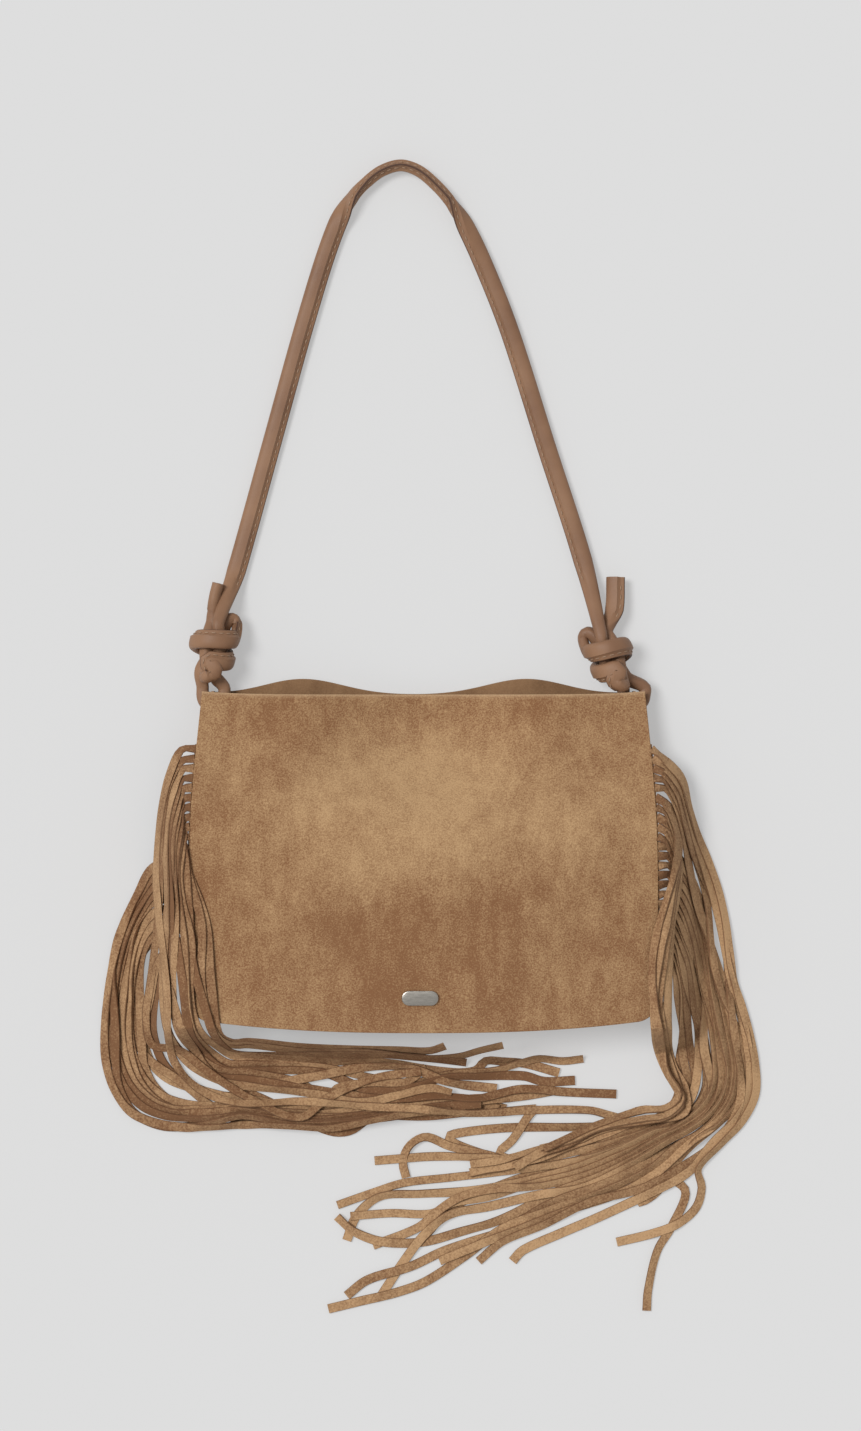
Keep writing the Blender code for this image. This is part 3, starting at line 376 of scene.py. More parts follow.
def makeMetal(name, colour):
    made, tree, shader = newMaterial(name)
    where = addNode(tree, "ShaderNodeTexCoord", (-1200, 0))
    long = addNode(tree, "ShaderNodeMapping", (-1000, 0))
    long.inputs["Scale"].default_value = (0.12, 1.0, 1.0)
    tree.links.new(where.outputs["Object"], long.inputs["Vector"])
    brush = addNode(tree, "ShaderNodeTexNoise", (-800, 0))
    brush.inputs["Scale"].default_value = 2500.0
    brush.inputs["Detail"].default_value = 3.0
    tree.links.new(long.outputs["Vector"], brush.inputs["Vector"])
    dull = [channel * 0.7 for channel in colour[:3]] + [1]
    tree.links.new(mixColour(tree, brush.outputs[0], dull, colour, (-400, 100)), shader.inputs["Base Color"])
    rough = doMath(tree, "MULTIPLY", brush.outputs[0], 0.2, (-400, -150))
    tree.links.new(doMath(tree, "ADD", rough, 0.18, (-250, -150)), shader.inputs["Roughness"])
    shader.inputs["Metallic"].default_value = 1.0
    addBump(tree, brush.outputs[0], shader, 0.15, 0.00005, (-200, -400))
    return made


panelSuede = makePanelSuede()
sideSuede = makePlainSuede("sideSuede", (0.2, 0.105, 0.052, 1), (0.42, 0.25, 0.13, 1))
innerSuede = makePlainSuede("innerSuede", (0.17, 0.09, 0.045, 1), (0.34, 0.2, 0.105, 1))
laceSuede = makeLaceSuede()
strapLeather = makeStrapLeather()
liningCloth = makeLiningCloth()
stitchThread = makeThread()
warmMetal = makeMetal("warmMetal", (0.66, 0.58, 0.46, 1))
plateMetal = makeMetal("plateMetal", (0.60, 0.56, 0.50, 1))
print("materials made")


# mesh helpers; every length below is in mm

def makePiece(name, points, faces, material, sharp=40.0, attributes=None):
    mesh = bpy.data.meshes.new(name)
    mesh.from_pydata([tuple(float(v) / 1000 for v in p) for p in points], [], faces)
    shape = bmesh.new()
    shape.from_mesh(mesh)
    bmesh.ops.recalc_face_normals(shape, faces=shape.faces)
    shape.to_mesh(mesh)
    shape.free()
    for key, values in (attributes or {}).items():
        layer = mesh.attributes.new(key, "FLOAT", "POINT")
        layer.data.foreach_set("value", np.asarray(values, dtype=np.float32))
    mesh.materials.append(material)
    mesh.shade_smooth()
    mesh.set_sharp_from_angle(angle=math.radians(sharp))
    made = bpy.data.objects.new(name, mesh)
    bpy.context.collection.objects.link(made)
    return made


def ringFaces(start, count, rings, capped=True):
    faces = []
    for k in range(rings - 1):
        a, b = start + k * count, start + (k + 1) * count
        for i in range(count):
            j = (i + 1) % count
            faces.append((a + i, a + j, b + j, b + i))
    if capped:
        faces.append(tuple(range(start, start + count)))
        faces.append(tuple(range(start + (rings - 1) * count, start + rings * count)))
    return faces


def smooth(value):
    value = np.clip(value, 0.0, 1.0)
    return value * value * (3.0 - 2.0 * value)


# shape of the bag, the same rule as its solids

bag = {
    "suede": 1.5, "halfWidth": 140.0, "mouthHalfWidth": 133.0, "bottomY": -101.0, "mouthY": 100.5,
    "taperStart": 81.0, "corner": 12.0, "bottomEndRise": 8.0, "mouthEndRise": 2.0,
    "humpRise": 9.5, "humpWidth": 34.0, "humps": (-73.0, 62.0), "humpCurl": 5.0,
    "depth": 43.0, "dome": 12.0, "mouthEndDepth": 21.5, "mouthBowDepth": 25.0, "mouthBowX": 78.0,
    "fallStart": 0.55, "fallEnd": 0.94, "snapX": 8.0, "snapRadius": 9.0, "stackDepth": 11.3,
    "facing": 1.2, "facingInset": 17.5, "facingStart": 0.80, "domeBase": 0.25, "domeShift": 0.15,
}


def halfWidth(y):
    start = bag["bottomY"] + bag["taperStart"]
    taper = np.clip((y - start) / (bag["mouthY"] - start), 0, 1)
    return bag["halfWidth"] - (bag["halfWidth"] - bag["mouthHalfWidth"]) * taper ** 2


def baseLine(u):
    return bag["bottomY"] + bag["bottomEndRise"] * np.abs(u) ** 2.5


def cornerRise(u):
    inset = bag["halfWidth"] * (1.0 - np.abs(u))
    short = np.clip(bag["corner"] - inset, 0.0, bag["corner"])
    return bag["corner"] - np.sqrt(bag["corner"] ** 2 - short ** 2)


def bottomEdge(u):
    return baseLine(u) + cornerRise(u)


def frontMouth(u):
    return bag["mouthY"] + bag["mouthEndRise"] * np.abs(u) ** 6


def hump(u):
    x = u * bag["mouthHalfWidth"]
    return sum(np.exp(-((x - centre) / bag["humpWidth"]) ** 2) for centre in bag["humps"])


def backMouth(u):
    return frontMouth(u) + bag["humpRise"] * hump(u) * (1.0 - np.abs(u) ** 8)


def mouthDepth(x):
    knots = (
        (-bag["mouthHalfWidth"], bag["mouthEndDepth"]), (-bag["mouthBowX"], bag["mouthBowDepth"]),
        (bag["snapX"] - bag["snapRadius"] / 2, bag["stackDepth"]),
        (bag["snapX"] + bag["snapRadius"] / 2, bag["stackDepth"]),
        (bag["mouthBowX"], bag["mouthBowDepth"]), (bag["mouthHalfWidth"], bag["mouthEndDepth"]),
    )
    height = np.full(np.shape(x), knots[0][1], dtype=float)
    for (x0, h0), (x1, h1) in zip(knots, knots[1:]):
        height = np.where(x > x0, h0 + (h1 - h0) * smooth((x - x0) / (x1 - x0)), height)
    return height


def frontDepth(u, t):
    fall = smooth((t - bag["fallStart"]) / (bag["fallEnd"] - bag["fallStart"]))
    base = bag["domeBase"]
    rise = base + (1.0 - base) * np.sin(math.pi * np.minimum(1.0, bag["domeShift"] + t))
    body = bag["depth"] + bag["dome"] * rise * (1.0 - u * u)
    return body + (mouthDepth(u * bag["mouthHalfWidth"]) - body) * fall


def backDepth(u, t):
    start = bag["facingStart"]
    return bag["humpCurl"] * hump(u) ** 3 * (1.0 - np.abs(u) ** 8) * smooth((t - start) / (1.0 - start))


def plan(u, t, mouth):
    y = baseLine(u) + (mouth(u) - baseLine(u)) * t + cornerRise(u) * (1.0 - t) ** 4
    return u * halfWidth(y), y


def frontHeight(x, y):
    u = np.clip(x / halfWidth(y), -1, 1)
    t = np.zeros(np.shape(y))
    for _ in range(5):
        rise = cornerRise(u) * (1.0 - t) ** 4
        t = np.clip((y - rise - baseLine(u)) / (frontMouth(u) - baseLine(u)), 0, 1)
    return frontDepth(u, t)


# panels, facings, lining

panelMesh = {
    "across": 150, "along": 110, "facingAcross": 90, "facingAlong": 24,
    "ripple": 0.55, "calmEdge": 8, "rim": 0.5, "rimReach": 3.0, "length": 200, "secondRow": 0.25,
    "underGap": 0.3, "facingGap": 0.0015, "bevel": 0.0005,
}


def ripple(x, y):  # soft unevenness
    wave = np.sin(x / 31 + 1.3 * np.sin(y / 41)) * np.cos(y / 27 + 0.8) + 0.6 * np.sin((x + y) / 19 + 2.0)
    return wave + 0.5 * np.sin(x / 11 - y / 17)


def slabPiece(name, top, bottom, material, sharp=45.0):
    rows, columns = top.shape[:2]
    rim = np.zeros((rows, columns))
    rim[-1], rim[-2] = 1.0, panelMesh["secondRow"]
    points = np.concatenate([top.reshape(-1, 3), bottom.reshape(-1, 3)])
    size = rows * columns
    faces = []
    for j in range(rows - 1):
        for i in range(columns - 1):
            a = j * columns + i
            faces.append((a, a + 1, a + columns + 1, a + columns))
            faces.append((size + a, size + a + columns, size + a + columns + 1, size + a + 1))
    for i in range(columns - 1):
        for a in (i, (rows - 1) * columns + i):
            faces.append((a, a + 1, size + a + 1, size + a))
    for j in range(rows - 1):
        for a in (j * columns, j * columns + columns - 1):
            faces.append((a, a + columns, size + a + columns, size + a))
    made = makePiece(name, points, faces, material, sharp, {"rim": np.tile(rim.ravel(), 2)})
    bevel = made.modifiers.new("softEdge", "BEVEL")
    bevel.width = panelMesh["bevel"]
    bevel.segments = 2
    bevel.limit_method = "ANGLE"
    bevel.angle_limit = math.radians(50)
    return made


def grid(across, along, low=-1.0, high=1.0, start=0.0, end=1.0):
    turn = np.linspace(-math.pi / 2, math.pi / 2, across)
    shares = 0.5 * np.sin(turn) + 0.5 * np.linspace(-1, 1, across)
    u = low + (high - low) * (shares + 1) / 2
    t = start + (end - start) * np.linspace(0, 1, along) ** 0.9
    return np.meshgrid(u, t)


def frontSurface(u, t, drop):
    x, y = plan(u, t, frontMouth)
    calm = panelMesh["calmEdge"]
    inside = smooth((1 - np.abs(u)) * calm) * smooth(t * calm) * smooth((1 - t) * calm)
    lip = panelMesh["rim"] * smooth(1 - (1 - t) * panelMesh["length"] / panelMesh["rimReach"])
    z = frontDepth(u, t) - drop + panelMesh["ripple"] * ripple(x, y) * inside
    return np.stack([x, y, z + (lip if drop == 0 else 0)], axis=-1)


def backSurface(u, t, lift):
    x, y = plan(u, t, backMouth)
    return np.stack([x, y, backDepth(u, t) + lift], axis=-1)


def makePanels():
    suede = bag["suede"]
    u, t = grid(panelMesh["across"], panelMesh["along"])
    front = slabPiece("frontPanel", frontSurface(u, t, 0.0), frontSurface(u, t, suede), panelSuede)
    back = slabPiece("backPanel", backSurface(u, t, suede), backSurface(u, t, 0.0), sideSuede)
    reach = 1 - bag["facingInset"] / bag["halfWidth"]
    start = bag["facingStart"] + panelMesh["facingGap"]
    u, t = grid(panelMesh["facingAcross"], panelMesh["facingAlong"], -reach, reach, start, 1.0)
    under = suede + panelMesh["underGap"]
    deep = under + bag["facing"]
    frontInner = slabPiece("frontFacing", frontSurface(u, t, under), frontSurface(u, t, deep), innerSuede)
    backInner = slabPiece("backFacing", backSurface(u, t, deep), backSurface(u, t, under), innerSuede)
    for piece, node in (
        (front, "front_panel"), (back, "back_panel"),
        (frontInner, "front_facing"), (backInner, "back_facing"),
    ):
        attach(piece, "bag")
        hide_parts(node)


liningShape = {"wall": 0.6, "inset": 10.0, "slack": 2.0, "gap": 0.3, "crease": 0.8, "rings": 40, "half": 60}


def liningRing(y, half, inner):
    low = bag["suede"] + liningShape["gap"] + inner
    drop = bag["suede"] + liningShape["slack"] + inner
    x = np.linspace(-1, 1, liningShape["half"]) * (half - inner)
    crease = liningShape["crease"] * np.sin(x / 9 + y / 23) * (1 - (x / half) ** 2) ** 2
    heights = np.full(x.shape, float(y))
    back = np.stack([x, heights, np.full(x.shape, low)], axis=-1)
    front = np.stack([x, heights, frontHeight(x, heights) - drop - np.abs(crease)], axis=-1)[::-1]
    return np.concatenate([back, front])


def makeLining():
    rings = liningShape["rings"]
    top = bottomEdge(0.0) + (frontMouth(0.0) - bottomEdge(0.0)) * bag["facingStart"] - liningShape["wall"]
    start = bag["bottomY"] + bag["bottomEndRise"] + liningShape["inset"]
    corner = 2 * bag["corner"]
    outer, inner = [], []
    for y in np.linspace(start, top, rings):
        short = max(0.0, corner - (y - start))
        half = halfWidth(y) - liningShape["inset"] - (corner - math.sqrt(corner ** 2 - short ** 2)) / 2
        outer.append(liningRing(y, half, 0.0))
        inner.append(liningRing(max(y, start + liningShape["wall"]), half, liningShape["wall"]))
    count = len(outer[0])
    points = np.concatenate(outer + inner)
    inside = rings * count  # where the inner wall's points start
    faces = ringFaces(0, count, rings, False) + ringFaces(inside, count, rings, False)
    faces.append(tuple(range(count)))
    faces.append(tuple(range(inside, inside + count)))
    a, b = inside - count, 2 * inside - count
    faces += [(a + i, a + (i + 1) % count, b + (i + 1) % count, b + i) for i in range(count)]
    made = makePiece("liningPouch", points, faces, liningCloth)
    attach(made, "bag")
    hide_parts("lining")


makePanels()
makeLining()
print("panels, facings and lining made")


# gusset

gussetShape = {
    "inset": 2.0, "fold": 5.0, "straight": 20.0, "gap": 0.3, "bandGap": 0.9, "wave": 0.5, "wavePitch": 13.0,
    "sideStep": 3.0, "baseStep": 4.0, "cornerStep": 9, "depthSteps": 12,
    "sideFrom": 100.0, "seamMargin": 0.5, "bendMargin": 0.3,
}
eyelet = {"drop": 7.0, "z": 11.0, "inset": 6.5, "barrel": 6.2, "clearance": 0.3, "sides": 24, "cut": 5.0}
eyeletX = bag["mouthHalfWidth"] - eyelet["inset"]
eyeletY = bag["mouthY"] - eyelet["drop"]
comb = {
    "laces": 23, "pitch": 5.8, "top": 171.8, "bandInset": 3.5, "bandOutset": 0.8, "rootInset": 0.6,
    "bandThickness": 1.2, "bandRise": 0.6, "seamDrop": 0.95, "bandRows": 40, "bandTone": -0.1,
}
seamTop = bag["bottomY"] + comb["top"]
seamBottom = seamTop - comb["laces"] * comb["pitch"]


def edgeHeight(y):
    return float(frontHeight(halfWidth(y), np.asarray(float(y))))


def seamHeight(y):
    return edgeHeight(y) - bag["suede"] - comb["seamDrop"]


def makeGusset():
    side = []
    mouth = float(frontMouth(1.0))
    straight = mouth - gussetShape["straight"]
    for y in np.arange(mouth, float(bottomEdge(1.0)), -gussetShape["sideStep"]):
        free = halfWidth(y) - gussetShape["inset"]
        pinned = eyeletX + bag["suede"] / 2
        x = pinned + (free - pinned) * smooth((straight - y) / gussetShape["straight"])
        side.append((x, y, -1.0, 0.0))
    corner = []
    radius = bag["corner"] - gussetShape["inset"]
    centreX, centreY = bag["halfWidth"] - bag["corner"], float(bottomEdge(1.0))
    for degrees in range(5, 91, gussetShape["cornerStep"]):
        turn = math.radians(degrees)
        wayX, wayY = math.cos(turn), -math.sin(turn)
        corner.append((centreX + wayX * radius, centreY + wayY * radius, -wayX, -wayY))
    base = []
    for x in np.arange(centreX - gussetShape["baseStep"], 0.0, -gussetShape["baseStep"]):
        base.append((x, float(bottomEdge(x / bag["halfWidth"])) + gussetShape["inset"], 0.0, 1.0))
    half = side + corner + base
    path = half + [(-x, y, -nx, ny) for x, y, nx, ny in reversed(half)]
    points = []
    low = bag["suede"] + gussetShape["gap"]
    steps, margin = gussetShape["depthSteps"], gussetShape["seamMargin"]
    for x, y, nx, ny in path:
        high = float(frontHeight(np.asarray(x), np.asarray(y))) - low
        if seamBottom - margin < y < seamTop + margin and abs(x) > gussetShape["sideFrom"]:
            high = seamHeight(y) - gussetShape["bandGap"]  # it ends under the fringe's band
        fold = 0.0
        if y <= straight - gussetShape["bendMargin"]:
            fold = gussetShape["fold"] * float(smooth((high - low) / bag["depth"]))
            fold += gussetShape["wave"] * math.sin((x - y) / gussetShape["wavePitch"])
        outer = []
        for step in range(steps + 1):
            s = step / steps
            outer.append((fold * math.sin(math.pi * s) ** 1.6, low + (high - low) * s))
        ring = outer + [(depth + bag["suede"], z) for depth, z in reversed(outer)]
        points += [(x + nx * depth, y + ny * depth, z) for depth, z in ring]
    made = makePiece("gussetWall", points, ringFaces(0, 2 * (steps + 1), len(path)), sideSuede)
    for way in (-1, 1):
        ring = []
        radius = eyelet["barrel"] + eyelet["clearance"]
        for x in (-eyelet["cut"], eyelet["cut"]):
            for step in range(eyelet["sides"]):
                turn = math.tau * step / eyelet["sides"]
                y = eyeletY + radius * math.cos(turn)
                ring.append((way * eyeletX + x, y, eyelet["z"] + radius * math.sin(turn)))
        cutter = makePiece("holeCutter", ring, ringFaces(0, eyelet["sides"], 2), sideSuede)
        hole = made.modifiers.new("eyeletHole", "BOOLEAN")
        hole.operation = "DIFFERENCE"
        hole.object = cutter
        graph = bpy.context.evaluated_depsgraph_get()
        cutMesh = bpy.data.meshes.new_from_object(made.evaluated_get(graph))
        made.modifiers.clear()
        made.data = cutMesh
        bpy.data.objects.remove(cutter)
    made.data.name = "gussetWall"
    made.data.set_sharp_from_angle(angle=math.radians(40))
    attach(made, "bag")
    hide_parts("gusset")


makeGusset()
print("gusset made")


# fringe. Guides and ends are (out from the side edge, up from the bottom edge)

fringe = {
    "width": 5.4, "thickness": 1.5, "layer": 1.5, "rung": 9.0, "margin": 2.5, "lift": 0.7,
    "sideDrape": 30.0, "endDrape": 20.0, "step": 3.0, "steepest": 3.4, "cell": 0.8, "tuck": 0.3,
    # route: how far a lace wanders from its guide, in how many waves
    "wander": 4.0, "waves": (1.0, 2.2), "jitter": 0.8,
    "samples": 60, "bendEvery": 4, "guideSpan": 8, "span": 10,
    # pile: points across a lace, tilts tried, and how the heights are evened
    "across": 5, "tilts": 41, "levelPull": 0.02, "ahead": 2.0, "evenHeight": 3, "evenTilt": 2, "sink": 0.8,
    "cover": 11,
    # stretches where a lace stands on its edge, and the twist at its root
    "edgeLean": (1.0, 2.2), "edgeReach": (10, 28), "edgeFrom": 25, "edgeRise": 0.5,
    "rootTwist": 3.6, "twistAt": 5.5, "twistReach": 4.0,
    # look: lighter and darker laces by side, drift along a lace, painted shade at the roots, darker cut edges
    # that are partly the leather's own and partly painted shade on the lace sides
    "widths": (0.9, 1.06), "tones": {-1: (-0.48, 0.12), 1: (-0.16, 0.4)},
    "drift": 0.13, "driftReach": (15, 35), "rootShade": 0.4, "shadeFrom": 5.0, "shadeReach": 14.0,
    "cutShade": 0.75, "floorGap": 0.12, "floorStep": 0.2,
}

leftTrunk = {
    0: [(6, 168), (10, 160), (14, 148), (17, 132), (18, 112), (18, 84), (17, 54), (16, 24), (15, -3),
        (10, -22), (-6, -35), (-23, -41), (-40, -42)],
    4: [(3, 147), (5, 140), (9, 126), (12, 104), (13, 78), (12, 48), (10, 20), (6, -2), (-4, -20),
        (-23, -31), (-40, -31)],
    8: [(2, 124), (3, 116), (4, 100), (3, 76), (1, 50), (-2, 26), (-8, 3), (-15, -10), (-25, -19),
        (-40, -19)],
    11: [(2, 106), (1, 98), (-2, 88), (-8, 68), (-13, 45), (-17, 22), (-18, 3), (-22, -7), (-40, -8)],
    12: [(14, 103), (25, 95), (34, 78), (43, 57), (49, 30), (52, 5), (52, -18), (46, -38), (33, -53),
        (9, -59), (-15, -59), (-40, -57)],
    16: [(14, 80), (27, 73), (36, 58), (41, 36), (42, 8), (38, -16), (29, -36), (10, -49), (-14, -51),
        (-40, -49)],
    19: [(12, 62), (24, 55), (31, 42), (34, 20), (33, -3), (28, -24), (17, -38), (-2, -45), (-20, -47),
        (-40, -45)],
    22: [(10, 43), (17, 36), (21, 22), (23, 2), (20, -15), (12, -27), (-3, -36), (-20, -41), (-40, -39)],
}
leftTails = {
    0: [(-72, -44), (-108, -47), (-138, -47), (-168, -50), (-204, -50), (-240, -49), (-252, -52),
        (-263, -55)],
    1: [(-65, -53), (-82, -41), (-109, -30), (-138, -25)],
    2: [(-72, -39), (-102, -44), (-126, -39), (-144, -36), (-157, -39)],
    3: [(-72, -36), (-102, -41), (-126, -42), (-150, -41), (-174, -41), (-200, -37), (-228, -38),
        (-257, -39)],
    4: [(-72, -29), (-102, -24), (-132, -23), (-156, -32), (-184, -36)],
    5: [(-66, -33), (-79, -42), (-90, -35), (-108, -32), (-129, -32), (-142, -23)],
    6: [(-78, -27), (-109, -38), (-133, -35), (-153, -29), (-174, -29), (-200, -29), (-213, -32),
        (-232, -31)],
    7: [(-78, -23), (-108, -29), (-133, -33), (-154, -28), (-182, -26), (-200, -20), (-210, -18),
        (-223, -20), (-237, -18)],
    8: [(-78, -19), (-120, -20), (-156, -26), (-171, -25), (-178, -20), (-186, -19), (-202, -22),
        (-222, -27)],
    9: [(-78, -15), (-114, -15), (-144, -18), (-166, -20)],
    10: [(-72, -13), (-108, -13), (-144, -17), (-162, -15), (-174, -12), (-188, -8)],
    11: [(-66, -9), (-96, -10), (-126, -11), (-144, -12), (-153, -8)],
    12: [(-60, -59), (-84, -59), (-108, -55), (-132, -51), (-156, -49)],
    13: [(-60, -57), (-90, -57), (-120, -53), (-144, -49)],
    14: [(-66, -56), (-96, -56), (-126, -50), (-150, -47), (-174, -45)],
    15: [(-72, -55), (-102, -53), (-138, -53), (-168, -50)],
    16: [(-72, -53), (-102, -52), (-132, -45), (-162, -44), (-198, -41), (-220, -37)],
    17: [(-72, -51), (-108, -49), (-144, -47), (-168, -41), (-191, -42)],
    18: [(-72, -49), (-108, -44), (-144, -49), (-174, -51), (-208, -49)],
    19: [(-72, -47), (-102, -39), (-132, -38), (-156, -44), (-186, -49)],
    20: [(-66, -55), (-96, -49), (-126, -44), (-154, -42)],
    21: [(-66, -48), (-102, -41), (-138, -42), (-168, -43), (-189, -49)],
    22: [(-66, -55), (-84, -62), (-95, -62), (-106, -54), (-118, -48), (-133, -48), (-150, -51)],
}
# laces that leave the bundle and cross it
leftStrays = {
    1: [(8, 160), (13, 148), (17, 125), (18, 95), (20, 60), (24, 27), (27, 0), (24, -9), (14, -8),
        (-1, -19), (-23, -35), (-43, -47)],
    20: [(12, 56), (24, 52), (32, 40), (36, 25), (35, 5), (31, -12), (20, -23), (6, -32), (-12, -47),
        (-32, -57)],
}
rightTrunk = {
    0: [(4, 163), (13, 156), (18, 139), (26, 114), (36, 90), (43, 63), (47, 33), (55, 4), (59, -16),
        (60, -36), (56, -49), (46, -62), (33, -75)],
    4: [(7, 144), (14, 129), (20, 102), (27, 75), (34, 48), (40, 18), (46, -9), (49, -30), (46, -47),
        (35, -62), (16, -75)],
    5: [(5, 136), (10, 128), (12, 112), (9, 92), (4, 70), (-1, 48), (-4, 25), (-3, 3), (1, -14), (6, -28),
        (14, -38), (13, -47), (0, -50), (-16, -53)],
    9: [(6, 113), (11, 104), (12, 88), (9, 70), (6, 50), (3, 28), (2, 5), (5, -14), (12, -30), (19, -40),
        (17, -52), (0, -57), (-14, -59)],
    10: [(7, 110), (15, 100), (24, 84), (31, 60), (36, 35), (42, 8), (46, -14), (47, -33), (40, -49),
        (28, -62), (8, -73)],
    14: [(8, 88), (15, 78), (22, 62), (28, 38), (33, 12), (37, -12), (38, -31), (32, -46), (19, -58),
        (-2, -69)],
    18: [(9, 65), (14, 55), (20, 38), (24, 15), (28, -8), (30, -28), (26, -43), (8, -55), (-9, -63)],
    22: [(8, 43), (12, 34), (13, 18), (13, -2), (15, -20), (18, -34), (13, -45), (0, -52), (-15, -56)],
}
rightTails = {
    0: [(26, -85), (28, -96), (25, -108), (14, -117), (-1, -123), (-24, -129)],
    1: [(20, -86), (-4, -99), (-34, -113), (-58, -123), (-80, -134), (-87, -141)],
    2: [(9, -87), (-10, -97), (-40, -105), (-67, -119), (-92, -129), (-106, -140)],
    3: [(7, -86), (-7, -98), (-10, -105), (-3, -102), (10, -92), (18, -99), (10, -120), (1, -135),
        (-5, -158), (-5, -171)],
    4: [(0, -87), (-22, -99), (-55, -110), (-91, -123), (-130, -141)],
    5: [(-37, -58), (-52, -65), (-67, -72)],
    6: [(-34, -59), (-52, -67), (-70, -72)],
    7: [(-34, -60), (-52, -69), (-70, -74), (-85, -83)],
    8: [(-34, -61), (-46, -68), (-70, -73), (-91, -78), (-112, -81)],
    9: [(-31, -63), (-46, -69), (-70, -77), (-94, -84), (-112, -87)],
    10: [(-4, -85), (-34, -99), (-64, -109), (-92, -121), (-116, -137), (-138, -152), (-154, -159),
        (-178, -165), (-198, -170)],
    11: [(-7, -83), (-34, -95), (-64, -105), (-92, -122), (-112, -129), (-129, -135), (-147, -144),
        (-174, -152), (-186, -161)],
    12: [(-12, -81), (-40, -95), (-70, -101), (-100, -107), (-124, -112), (-140, -125), (-153, -141),
        (-166, -161)],
    13: [(-16, -79), (-34, -89), (-58, -98), (-92, -115), (-118, -122), (-141, -129), (-166, -128),
        (-182, -122), (-192, -113)],
    14: [(-19, -78), (-43, -89), (-70, -95), (-98, -96), (-118, -101), (-130, -109), (-143, -120),
        (-171, -131)],
    15: [(-21, -75), (-46, -86), (-76, -93), (-100, -101), (-121, -105), (-136, -111), (-160, -112),
        (-184, -113)],
    16: [(-22, -73), (-52, -84), (-82, -92), (-112, -98), (-143, -100), (-166, -102), (-180, -113),
        (-187, -128)],
    17: [(-25, -72), (-52, -80), (-92, -86), (-124, -90), (-153, -94), (-173, -99), (-192, -107)],
    18: [(-25, -71), (-52, -81), (-82, -90), (-106, -99), (-124, -109), (-140, -126)],
    19: [(-27, -69), (-52, -75), (-76, -80), (-104, -78), (-136, -78), (-170, -80)],
    20: [(-28, -67), (-46, -72), (-67, -78), (-88, -80), (-100, -76), (-124, -71), (-138, -66),
        (-149, -71), (-152, -81), (-151, -90)],
    21: [(-28, -65), (-43, -69), (-64, -74), (-85, -79), (-94, -76), (-87, -68), (-77, -53), (-71, -48)],
    22: [(-34, -59), (-58, -59), (-88, -60), (-115, -62), (-125, -65), (-120, -70), (-98, -78)],
}


def smoothCurve(points, perSpan):
    chords = [max((b - a).length, 1e-6) for a, b in zip(points, points[1:])]
    slopes = []
    for i in range(len(points)):
        before, after = max(i - 1, 0), min(i + 1, len(points) - 1)
        slopes.append((points[after] - points[before]) / sum(chords[before:after]))
    made = [points[0]]
    for i, chord in enumerate(chords):
        for k in range(1, perSpan + 1):
            s = k / perSpan
            h = s * s * (3 - 2 * s)
            made.append(points[i] * (1 - h) + points[i + 1] * h + slopes[i] * chord * (s - 2 * s * s + s ** 3)
                        + slopes[i + 1] * chord * (s ** 3 - s * s))
    return made


def walk(points, shares):
    reach = [0.0]
    for a, b in zip(points, points[1:]):
        reach.append(reach[-1] + (b - a).length)
    made = []
    i = 1
    for share in shares:
        want = share * reach[-1]
        while i < len(points) - 1 and reach[i] < want:
            i += 1
        along = (want - reach[i - 1]) / max(reach[i] - reach[i - 1], 1e-9)
        made.append(points[i - 1].lerp(points[i], min(1.0, max(0.0, along))))
    return made


def lineLength(points):
    return sum((b - a).length for a, b in zip(points, points[1:]))


def laceRoot(side, index):
    y = seamTop - comb["pitch"] * (index + 0.5)
    return Vector((side * (float(halfWidth(y)) + comb["bandOutset"] - comb["rootInset"]), y))


def inPlan(side, spots):
    return [Vector((side * (bag["halfWidth"] + out), bag["bottomY"] + up)) for out, up in spots]


def laceRoute(side, index, trunk, tails, strays):
    samples = fringe["samples"]
    shares = [k / samples for k in range(samples + 1)]
    root = laceRoot(side, index)
    if index in strays:
        line = smoothCurve([root] + inPlan(side, strays[index]), fringe["guideSpan"])
    else:
        low = max(key for key in trunk if key <= index)
        high = min(key for key in trunk if key >= index)
        share = 0.0 if low == high else (index - low) / (high - low)
        pair = []
        for key in (low, high):
            guide = smoothCurve([laceRoot(side, key)] + inPlan(side, trunk[key]), fringe["guideSpan"])
            pair.append(walk(guide, shares))
        line = [a.lerp(b, share) for a, b in zip(*pair)]
    chance = random.Random(100 * (side + 2) + index)
    swing = chance.uniform(-1.0, 1.0) * fringe["wander"]
    turns, phase = chance.uniform(*fringe["waves"]), chance.uniform(0.0, 1.0)
    fine = walk(line, shares)
    bent = [root]
    for k in range(2, samples + 1, fringe["bendEvery"]):
        ahead = (fine[min(k + 1, samples)] - fine[k - 1]).normalized()
        s = shares[k]
        wave = swing * smooth(s * 2.2) * math.sin(math.tau * (turns * s + phase))
        bent.append(fine[k] + Vector((-ahead.y, ahead.x)) * float(wave) + (root - fine[0]) * (1 - s) ** 12)
    jitter = fringe["jitter"]
    for spot in inPlan(side, tails[index]):
        bent.append(spot + Vector((chance.uniform(-jitter, jitter), chance.uniform(-jitter, jitter))))
    line = smoothCurve(bent, fringe["span"])
    count = max(12, int(lineLength(line) / fringe["step"]))
    return walk(line, [k / count for k in range(count + 1)])


